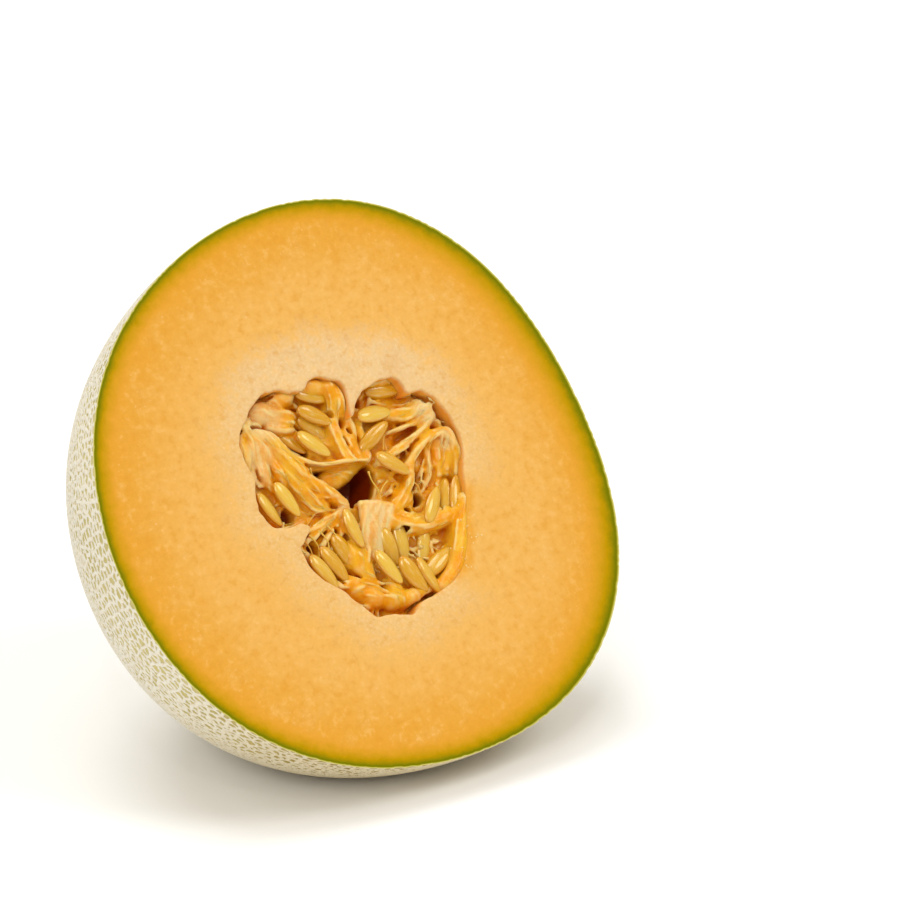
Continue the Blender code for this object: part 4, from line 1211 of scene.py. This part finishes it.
def taut(course, thick):
    """A filament's course drawn taut over hollows, thin and sunk at its ends."""
    for _ in range(6):
        course[1:-1, 2] = np.minimum(course[1:-1, 2], 0.5 * (course[:-2, 2] + course[2:, 2]))
    share = np.linspace(0.0, 1.0, len(course))
    taper = np.sqrt(np.sin(math.pi * (0.04 + 0.92 * share)))
    course[:, 2] += 0.6 * (1.0 - taper) + 0.1 * thick
    return np.column_stack((course, thick * taper))


def tube(line):
    """Points round a course of (across, up, depth, radius), and the faces between them."""
    way = unit(np.gradient(line[:, :3], axis=0))
    side = unit(np.cross(way, (0.0, 0.0, 1.0)))
    rise = np.cross(way, side)
    turn = np.linspace(0.0, 2.0 * math.pi, FILAMENT_SIDES, endpoint=False)[None, :, None]
    around = side[:, None] * np.cos(turn) + rise[:, None] * np.sin(turn)
    rings = line[:, None, :3] + line[:, None, 3:] * around
    first = list(range(FILAMENT_SIDES))
    last = [(len(line) - 1) * FILAMENT_SIDES + corner for corner in first]
    return rings.reshape(-1, 3), ring_faces(len(line), FILAMENT_SIDES, 0) + [first[::-1], last]


def build_filaments(field, angle, material):
    draw = np.random.default_rng(DRAWS["filaments"])
    lines = filament_lines(field, angle, FILAMENTS, FILAMENT_RADII, draw)
    for points in HANGING:
        course = open_curve(points, 5)
        share = np.linspace(0.0, 1.0, len(course))
        radius = HANGING_RADIUS * (1.0 + np.cos(math.pi * share) ** 2)
        lines.append(np.column_stack((course, radius)))
    parts = []
    for line in lines:
        points, faces = tube(line)
        even = {"grain": draw.uniform(-1.0, 1.0), **FILAMENT_LOOK}
        values = {key: np.full(len(points), value) for key, value in even.items()}
        parts.append((points, faces, {"rest": rest_place(points), "silk": silk_share(points), **values}))
    return add_parts("pulp_filaments", parts, material)


# Skin of the pulp

def skin(field):
    """Points and quads of the field's surface, one point for each cell that it crosses."""
    values = field.values
    inside = values < 0.0
    shape = tuple(size - 1 for size in values.shape)
    units = np.eye(3, dtype=int)
    steps = list(np.ndindex(2, 2, 2))
    count = sum(inside[a:a + shape[0], b:b + shape[1], c:c + shape[2]].astype(np.int8) for a, b, c in steps)
    mixed = (count > 0) & (count < 8)
    cells = np.argwhere(mixed)
    names = np.full(shape, -1, np.int64)
    names[mixed] = np.arange(len(cells))
    sums = np.zeros((len(cells), 3))
    hits = np.zeros(len(cells))
    for axis, ahead in enumerate(units):
        for step in steps:
            if step[axis]:
                continue
            start = cells + step
            first = values[tuple(start.T)]
            second = values[tuple((start + ahead).T)]
            crossed = (first < 0.0) != (second < 0.0)
            share = first[crossed] / (first[crossed] - second[crossed])
            sums[crossed] += np.array(step) + share[:, None] * ahead
            hits[crossed] += 1.0
    spots = cells + sums / hits[:, None]
    quads = []
    for axis, ahead in enumerate(units):
        side, other = units[(axis + 1) % 3], units[(axis + 2) % 3]
        crossed = inside != np.roll(inside, -1, axis)
        crossed[tuple(slice(-1, None) if index == axis else slice(None) for index in range(3))] = False
        starts = np.argwhere(crossed)
        within = (starts >= side + other) & (starts + ahead <= shape) & (starts + 1 - ahead <= shape)
        starts = starts[np.all(within, axis=1)]
        corners = [names[tuple((starts - way).T)] for way in (side + other, other, 0 * side, side)]
        quad = np.stack(corners, 1)
        turned_over = ~inside[tuple(starts.T)]
        quad[turned_over] = quad[turned_over][:, ::-1]
        quads.append(quad)
    return spots * field.step + field.low, np.concatenate(quads), spots


def relaxed(points, quads, share):
    """Points drawn towards the middle of their neighbours."""
    sums = np.zeros_like(points)
    counts = np.zeros(len(points))
    for first, second in ((0, 1), (1, 2), (2, 3), (3, 0)):
        for one, two in ((first, second), (second, first)):
            np.add.at(sums, quads[:, one], points[quads[:, two]])
            np.add.at(counts, quads[:, one], 1.0)
    return points + share * (sums / counts[:, None] - points)


def blurred(values, reach):
    """Box blur along each axis, done twice."""
    for axis in (0, 1, 2, 0, 1, 2):
        padded = np.concatenate((np.repeat(np.take(values, [0], axis), reach + 1, axis), values,
                                 np.repeat(np.take(values, [-1], axis), reach, axis)), axis)
        sums = np.cumsum(padded, axis, dtype=np.float32)
        low = np.arange(values.shape[axis])
        values = (np.take(sums, low + 2 * reach + 1, axis) - np.take(sums, low, axis)) / (2 * reach + 1)
    return values


def sampled(values, spots):
    """Values of a grid at places between its points."""
    cell = np.clip(spots.astype(int), 0, np.array(values.shape) - 2)
    share = spots - cell
    total = 0.0
    for step in np.ndindex(2, 2, 2):
        weight = np.prod(np.where(step, share, 1.0 - share), axis=1)
        total = total + weight * values[tuple((cell + step).T)]
    return total


def build_pulp(material, juice):
    field, angle, streaks = build_field()
    points, quads, spots = skin(field)
    solid = (field.values < 0.0).astype(np.float32)
    # How thin the pulp is and how much pulp lies round each point: the material paints shade into creases
    # from these, and paints thin crests paler, partly as highlight
    thin, crease_shade = [sampled(blurred(solid, reach), spots) for reach in (THIN_REACH, CREASE_SHADE_REACH)]
    cell = np.rint(spots[:, :2]).astype(int)
    points = relaxed(points, quads, SKIN_EASING)
    pulp = add_mesh("seed_pulp", on_face(*points.T), quads.tolist(), [material], None,
                    {"rest": rest_place(points), "thin": thin, "crease_shade": crease_shade,
                     "grain": streaks[cell[:, 0], cell[:, 1]], "silk": silk_share(points)})
    return pulp, build_filaments(field, angle, material), build_juice(field, juice)


# Seeds and beads of juice

def seed_form():
    """One seed as (along, side, thick, edge): flat, rounded at one end and pointed at the other."""
    spots = [(-0.5 * SEED_LENGTH, 0.0, 0.0, 1.0)]
    for row in range(1, SEED_ROWS):
        bend = math.pi * row / SEED_ROWS
        along = -0.5 * math.cos(bend)
        swell = math.sin(bend) ** 1.02 * (1.0 - 0.3 * (along + 0.1))
        for segment in range(SEED_SEGMENTS):
            turn = 2.0 * math.pi * segment / SEED_SEGMENTS
            side = math.cos(turn)
            thick = math.copysign(abs(math.sin(turn)) ** 1.25, math.sin(turn))
            spots.append((along * SEED_LENGTH, side * swell * SEED_WIDTH / 2.0,
                          thick * swell ** 0.8 * SEED_THICKNESS / 2.0,
                          max(abs(side) ** 3, abs(2.0 * along) ** 6)))
    spots.append((0.5 * SEED_LENGTH, 0.0, 0.0, 1.0))
    last = 1 + (SEED_ROWS - 2) * SEED_SEGMENTS
    faces = (ring_faces(SEED_ROWS - 1, SEED_SEGMENTS, 1) + fan_faces(SEED_SEGMENTS, 1, 0)
             + fan_faces(SEED_SEGMENTS, last, len(spots) - 1))
    return np.array(spots), faces


def build_seeds(material):
    form, faces = seed_form()
    draw = np.random.default_rng(DRAWS["seeds"])
    parts = []
    for *middle, turn, dip, roll in SEEDS:
        size = draw.uniform(0.96, 1.07)
        along, side, thick, edge = (form * (size, size * draw.uniform(0.94, 1.04), size, 1.0)).T
        side = side + 0.12 * draw.normal() * (along / 5.0) ** 2
        side, thick = turned(side, thick, math.radians(roll))
        along, thick = turned(along, thick, math.radians(dip))
        along, side = turned(along, side, math.radians(turn))
        tone = np.full(len(form), draw.uniform(0.0, 1.0))
        rest = form[:, :3] + (0.0, 0.0, SEED_GRAIN_STEP * (len(parts) + 1))
        parts.append((np.array(middle) + np.column_stack((along, side, thick)), faces,
                      {"edge": edge, "tone": tone, "rest": rest}))
    return add_parts("seeds", parts, material)


def bead_form():
    """A low drop as (along, side, rise) for a radius of 1, closed below."""
    spots = [(0.0, 0.0, 1.0)]
    for row in range(1, JUICE_ROWS + 1):
        bend = 0.5 * math.pi * row / JUICE_ROWS
        for side in range(JUICE_SIDES):
            turn = 2.0 * math.pi * side / JUICE_SIDES
            spots.append((math.sin(bend) * math.cos(turn), math.sin(bend) * math.sin(turn), math.cos(bend)))
    bottom = [len(spots) - JUICE_SIDES + side for side in range(JUICE_SIDES)]
    return np.array(spots), fan_faces(JUICE_SIDES, 1, 0) + ring_faces(JUICE_ROWS, JUICE_SIDES, 1) + [bottom]


def build_juice(field, material):
    form, faces = bead_form()
    draw = np.random.default_rng(DRAWS["juice"])
    depth = top_depth(field)
    outline = closed_curve(CAVITY_OUTLINE, 5)
    parts = []
    for middle, spread, count in JUICE:
        for _ in range(count):
            spot = np.array(middle) + draw.normal(0.0, JUICE_SPREAD, 2) * spread
            cell = np.rint((spot - field.low[:2]) / field.step).astype(int)
            on_flesh = loop_distance(spot[None], outline)[0] > -0.3
            level = 0.0 if on_flesh else depth[tuple(np.clip(cell, 0, np.array(depth.shape) - 1))]
            if level > JUICE_DEEPEST:
                continue
            radius = draw.uniform(*JUICE_RADII)
            turn = draw.uniform(0.0, math.pi)
            stretch = draw.uniform(*JUICE_STRETCH)
            along, side = turned(form[:, 0] * radius * stretch, form[:, 1] * radius, turn)
            below = level + JUICE_SUNK - form[:, 2] * radius * JUICE_RISE
            parts.append((np.column_stack((spot[0] + along, spot[1] + side, below)), faces, {}))
    return add_parts("juice_beads", parts, material)


# Materials

def new_material(name):
    material = bpy.data.materials.new(name)
    material.use_nodes = True
    return material, Graph(material.node_tree)


def rind_material():
    material, graph = new_material("netted_rind")
    rest = graph.stored("rest", "Vector")
    reach = graph.across(rest)
    height = net_height(graph, rest, reach)
    grain = graph.noise(rest, 0.7, 3.0, 0.6)
    under = graph.split(rest)[1]
    skin = graph.ramp(graph.noise(rest, 26.0, 3.0), (0.3, (230, 216, 150)), (0.5, (214, 200, 130)),
                      (0.68, (196, 182, 108)))
    skin = graph.blend(graph.noise(rest, 2.2, 3.0, 0.6).span(0.4, 0.75, 0.0, 0.7), skin, (232, 220, 170))
    # Painted shade: the skin darker and yellower towards the ground
    skin = graph.blend(under.span(-40.0, -72.0, 0.0, 0.9), skin, UNDER_SKIN_SHADE, "MULTIPLY")
    cork = graph.ramp(grain, (0.3, (246, 230, 202)), (0.5, (255, 248, 228)), (0.7, (255, 254, 244)))
    colour = graph.blend(height.span(0.15, 0.7), skin, cork)
    # Painted shade: skin and net darker and yellower towards the ground
    colour = graph.blend(under.span(-30.0, -74.0, 0.0, 0.9), colour, UNDER_WHOLE_SHADE, "MULTIPLY")
    colour = scar_colour(graph, rest, reach, height, colour)
    graph.finish(colour, {"Roughness": 0.75, "Specular IOR Level": 0.2}, height * 0.35 + grain * 0.16, 0.6)
    return material


def scar_colour(graph, rest, reach, height, around):
    """The stem scar: green streaks, a yellow-green ring, a tan disc with pale cracks and a grey core."""
    across, up, out = graph.split(rest)
    angle = graph.math("ARCTAN2", up, across)
    away = reach + (graph.noise(rest, 4.0, 4.0) - 0.5) * 4.4
    rays = graph.joined(*graph.on_circle(angle, 9.0), reach * 0.22)
    streak = graph.noise(rays, 0.55, 3.0).span(0.44, 0.6)
    patches = graph.noise(rest, 3.2, 4.0, 0.6)
    fine = graph.noise(rest, 0.7, 4.0, 0.65)
    disc = graph.ramp(patches, (0.32, (170, 104, 60)), (0.5, (212, 150, 96)), (0.66, (226, 186, 120)))
    disc = graph.layered(disc, (away.span(2.2, 4.4, 0.7, 0.0), (150, 88, 52)),
                         (fine.span(0.5, 0.75, 0.0, 0.5), (238, 204, 162)))
    core = graph.ramp(fine, (0.35, (104, 104, 66)), (0.5, (150, 148, 108)), (0.62, (206, 202, 164)))
    ring = graph.blend(patches.span(0.4, 0.62), (206, 202, 74), (222, 204, 110))
    dark = graph.blend(patches.span(0.4, 0.6), (58, 84, 16), (112, 118, 30))
    green = graph.blend(streak, (206, 202, 112), dark)
    cork = graph.blend(fine, (236, 216, 172), (252, 240, 214))
    scar = graph.layered(
        core,
        (away.span(1.7, 2.4), disc),
        (away.span(5.6, 7.8), ring),
        ((away + streak * 2.2).span(9.4, 10.8), green),
        (scar_cracks(graph, angle, reach), cork),
        (height.span(0.2, 0.7), cork),
    )
    share = (away + streak * -3.4).span(14.4, 10.6) * graph.math("LESS_THAN", out, 0.0)
    return graph.blend(share, around, scar)


def scar_cracks(graph, angle, reach):
    """Pale cracks that run out from the scar's core."""
    start, end = SCAR_CRACK_REACH
    swing = graph.math("SINE", angle * 3.0 + 1.0) * SCAR_CRACK_SWING
    bend = graph.math("SINE", reach * 0.9) * SCAR_CRACK_BEND
    star = graph.math("ABSOLUTE", graph.math("SINE", angle * SCAR_CRACK_TURN + swing + bend))
    line = (star * reach).span(0.5, 1.1, 1.0, 0.0) * reach.span(start, start + 0.8)
    return line * reach.span(end, end - 2.6, 0.0, 0.85)


def flesh_material():
    material, graph = new_material("cut_flesh")
    rest, rim, core = graph.stored("rest", "Vector"), graph.stored("rim_gap"), graph.stored("core_gap")
    across, up, out = graph.split(rest)
    patches = graph.noise(rest, 8.0, 5.0, 0.6)
    mottle = graph.noise(rest, 2.6, 3.0, 0.6)
    fine = graph.noise(rest, 0.9, 3.0, 0.6)
    reach = graph.math("LOGARITHM", graph.math("MAXIMUM", graph.length(rest), 1.0), math.e)
    angle = graph.math("ARCTAN2", up, across)
    rays = graph.joined(graph.math("COSINE", angle), graph.math("SINE", angle), reach * 0.25)
    marbling = patches * 0.7 + graph.noise(rays, 0.035, 3.0, 0.6) * 0.3
    torn = graph.length(rest - (*TORN_SIDE, 0.0)).span(TORN_REACH[1], TORN_REACH[0])
    halo = graph.length((rest - (*HALO_MIDDLE, 0.0)) * (*HALO_SHAPE, 0.0))
    raised = (halo + marbling * 1.1).span(2.0, 0.95)

    pale = graph.blend(raised, (248, 203, 130), (248, 209, 150))
    pale = graph.blend(fine.span(0.45, 0.65, 0.0, 0.3), pale, (252, 222, 180))
    pale_gap = core + (marbling - 0.5) * 14.0 + torn * 11.0 - raised * 7.0 + (mottle - 0.5) * 15.0
    smear = (core + (patches - 0.5) * 8.0).span(3.5, 0.5, 0.0, 0.8) * torn
    orange = graph.layered(
        graph.blend((rim + marbling * 12.0).span(9.0, 34.0), (243, 174, 60), (250, 191, 98)),
        (pale_gap.span(14.0, 0.0), pale),
        (smear, (246, 172, 56)),
        (marbling.span(0.5, 0.66, 0.0, 0.25), (251, 196, 110)),
        (marbling.span(0.48, 0.34, 0.0, 0.2), (238, 162, 46)),
        (fine.span(0.59, 0.76, 0.0, 0.5) * patches.span(0.47, 0.6), (255, 224, 166)),
        (fine.span(0.42, 0.28, 0.0, 0.12), (240, 166, 52)),
        (mottle.span(0.52, 0.72, 0.0, 0.4), (253, 202, 120)),
        (mottle.span(0.48, 0.3, 0.0, 0.4), (241, 168, 54)),
    )
    wobble = (graph.noise(rest, 3.2, 4.0, 0.6) - 0.5) * rim.span(0.2, 3.0, 0.0, 3.0)
    band = (rim + wobble) / across.span(0.0, 62.0, 1.0, 1.75)
    skin = graph.ramp(band / RIM_REACH, *[(gap / RIM_REACH, colour) for gap, colour in RIM_COLOURS])
    colour = graph.blend(band.span(4.0, 7.5), skin, orange)
    shade = fine.span(0.3, 0.7, -0.016, 0.016) + mottle.span(0.3, 0.7, -0.018, 0.018)
    shade = shade + raised * patches.span(0.3, 0.7, -0.03, 0.03)
    # Painted shade: the cavity wall turns darker and redder deeper in
    wall = graph.blend(out.span(-3.0, -9.0), (255, 172, 62), (236, 120, 14))
    colour = graph.blend(out.span(0.0, -2.0), colour * (shade + 1.0), wall)
    graph.finish(colour, {
        "Roughness": 0.42, "Specular IOR Level": 0.02,
        "Subsurface Weight": out.span(-0.1, -1.0, 0.15, 0.8), "Subsurface Radius": (1.0, 0.6, 0.2),
        "Subsurface Scale": 2.2 * MM,
    }, fine * 0.06 + marbling * 0.2, 0.4)
    return material


def pulp_material():
    material, graph = new_material("wet_pulp")
    rest, silk, grain = graph.stored("rest", "Vector"), graph.stored("silk"), graph.stored("grain")
    thin, crease_shade = graph.stored("thin"), graph.stored("crease_shade")
    depth = graph.split(rest)[2] * -1.0
    fine = graph.noise(rest, 0.8, 4.0, 0.6)
    colour = graph.layered(
        graph.blend(graph.noise(rest, 6.0, 3.0).span(0.35, 0.65), (255, 168, 8), (255, 189, 34)),
        (grain.span(0.0, 1.0, 0.0, 0.6), (255, 209, 84)),
        (grain.span(0.0, -1.0, 0.0, 0.6), (238, 152, 16)),
        # Thin crests paler: partly pale torn edges, partly painted highlight
        (thin.span(0.48, 0.32), (255, 218, 136)),
        (silk * grain.span(-1.0, 0.6, 0.25, 0.9), (255, 224, 156)),
        # Painted shade: darker orange in the creases
        (thin.span(0.56, 0.74, 0.0, 0.75), (242, 140, 0)),
        # Painted shade: darker orange where much pulp lies round a point
        (crease_shade.span(0.64, 0.92), (228, 108, 0)),
        (fine.span(0.6, 0.8, 0.0, 0.4), (255, 214, 130)),
        # Painted shade: dark red-brown deep in the hollow
        (depth.span(6.6, 10.0), (140, 44, 0)),
    )
    graph.finish(colour, {
        "Roughness": 0.28, "Specular IOR Level": 0.2, "Specular Tint": (1.0, 0.84, 0.5, 1.0),
        "Subsurface Weight": 0.45, "Subsurface Radius": (1.0, 0.5, 0.15), "Subsurface Scale": 2.0 * MM,
        "Coat Weight": 0.2, "Coat Roughness": 0.1,
    }, fine, 0.3, 0.3 * MM)
    return material


def seed_material():
    material, graph = new_material("seed_coat")
    grain = graph.noise(graph.stored("rest", "Vector") * (0.35, 1.6, 1.6), 0.8, 3.0)
    colour = graph.layered(
        graph.blend(graph.stored("tone"), (234, 169, 8), (250, 205, 72)),
        (grain.span(0.45, 0.75, 0.0, 0.3), (255, 234, 160)),
        (graph.stored("edge").span(0.3, 1.0, 0.0, 0.8), (222, 146, 14)),
    )
    graph.finish(colour, {
        "Roughness": 0.2, "Specular IOR Level": 0.45, "Specular Tint": (1.0, 0.88, 0.6, 1.0),
        "Subsurface Weight": 0.35, "Subsurface Radius": (1.0, 0.6, 0.2), "Subsurface Scale": 1.2 * MM,
        "Coat Weight": 0.7, "Coat Roughness": 0.11,
    }, grain, 0.08, 0.3 * MM)
    return material


def juice_material():
    material, graph = new_material("juice")
    cloud = graph.noise(graph.add("ShaderNodeTexCoord", "Object") * (1.0 / MM), 3.0)
    colour = graph.blend(cloud, (254, 200, 100), (255, 222, 150))
    graph.finish(colour, {"Roughness": 0.06, "Coat Weight": 0.6, "Coat Roughness": 0.03})
    return material


def floor_material():
    material, graph = new_material("pale_floor")
    cloud = graph.noise(graph.add("ShaderNodeTexCoord", "Object"), 0.4, 2.0)
    graph.finish(graph.blend(cloud, *FLOOR_TONES), {"Roughness": 0.9, "Specular IOR Level": 0.1})
    return material


# Stage

def add_floor():
    corners = [(-FLOOR_REACH, -FLOOR_REACH, 0.0), (FLOOR_REACH, -FLOOR_REACH, 0.0),
               (FLOOR_REACH, FLOOR_REACH, 0.0), (-FLOOR_REACH, FLOOR_REACH, 0.0)]
    floor = add_mesh("floor", corners, [(0, 1, 2, 3)], [floor_material()])


def add_camera():
    across, level = math.cos(CAMERA_AZIMUTH), math.cos(CAMERA_ELEVATION)
    right = np.array((across, math.sin(CAMERA_AZIMUTH), 0.0))
    back = np.array((math.sin(CAMERA_AZIMUTH) * level, -across * level, math.sin(CAMERA_ELEVATION)))
    top = np.cross(back, right)
    aside, below = [(pixel - PICTURE_SIZE / 2.0) / FOCAL_PIXELS for pixel in FACE_CENTRE_PIXEL]
    spot = (FACE_CENTRE - CAMERA_DISTANCE * (aside * right - below * top - back)) * MM
    data = bpy.data.cameras.new("camera")
    data.sensor_width = SENSOR
    data.lens = FOCAL_PIXELS / PICTURE_SIZE * SENSOR
    data.clip_start = 0.05
    data.clip_end = 50.0
    camera = bpy.data.objects.new("camera", data)
    matrix = np.eye(4)
    matrix[:3] = np.column_stack((right, top, back, spot))
    camera.matrix_world = Matrix(matrix.tolist())
    bpy.context.scene.collection.objects.link(camera)
    bpy.context.scene.camera = camera


def add_lights():
    for name, place, spread, strength in LAMPS:
        data = bpy.data.lights.new(name, "SUN")
        data.angle = math.radians(spread)
        data.energy = strength
        lamp = bpy.data.objects.new(name, data)
        lamp.location = place
        lamp.rotation_euler = Vector(place).to_track_quat("Z", "Y").to_euler()
        bpy.context.scene.collection.objects.link(lamp)
    world = bpy.data.worlds.new("studio")
    world.use_nodes = True
    background = world.node_tree.nodes["Background"]
    background.inputs["Color"].default_value = WORLD_COLOUR
    background.inputs["Strength"].default_value = WORLD_STRENGTH
    bpy.context.scene.world = world
    bpy.context.scene.view_settings.view_transform = "Standard"


def main():
    half = build_half(rind_material(), flesh_material())
    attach(half, "root")
    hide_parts("melon_half")
    pulp, filaments, beads = build_pulp(pulp_material(), juice_material())
    for piece in (filaments, beads):
        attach(piece, "root")
    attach(pulp, "root")
    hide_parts("seed_mass_left", "seed_mass_right", "seed_mass_lower")
    seeds = build_seeds(seed_material())
    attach(seeds, "root")
    add_floor()
    add_camera()
    add_lights()


main()
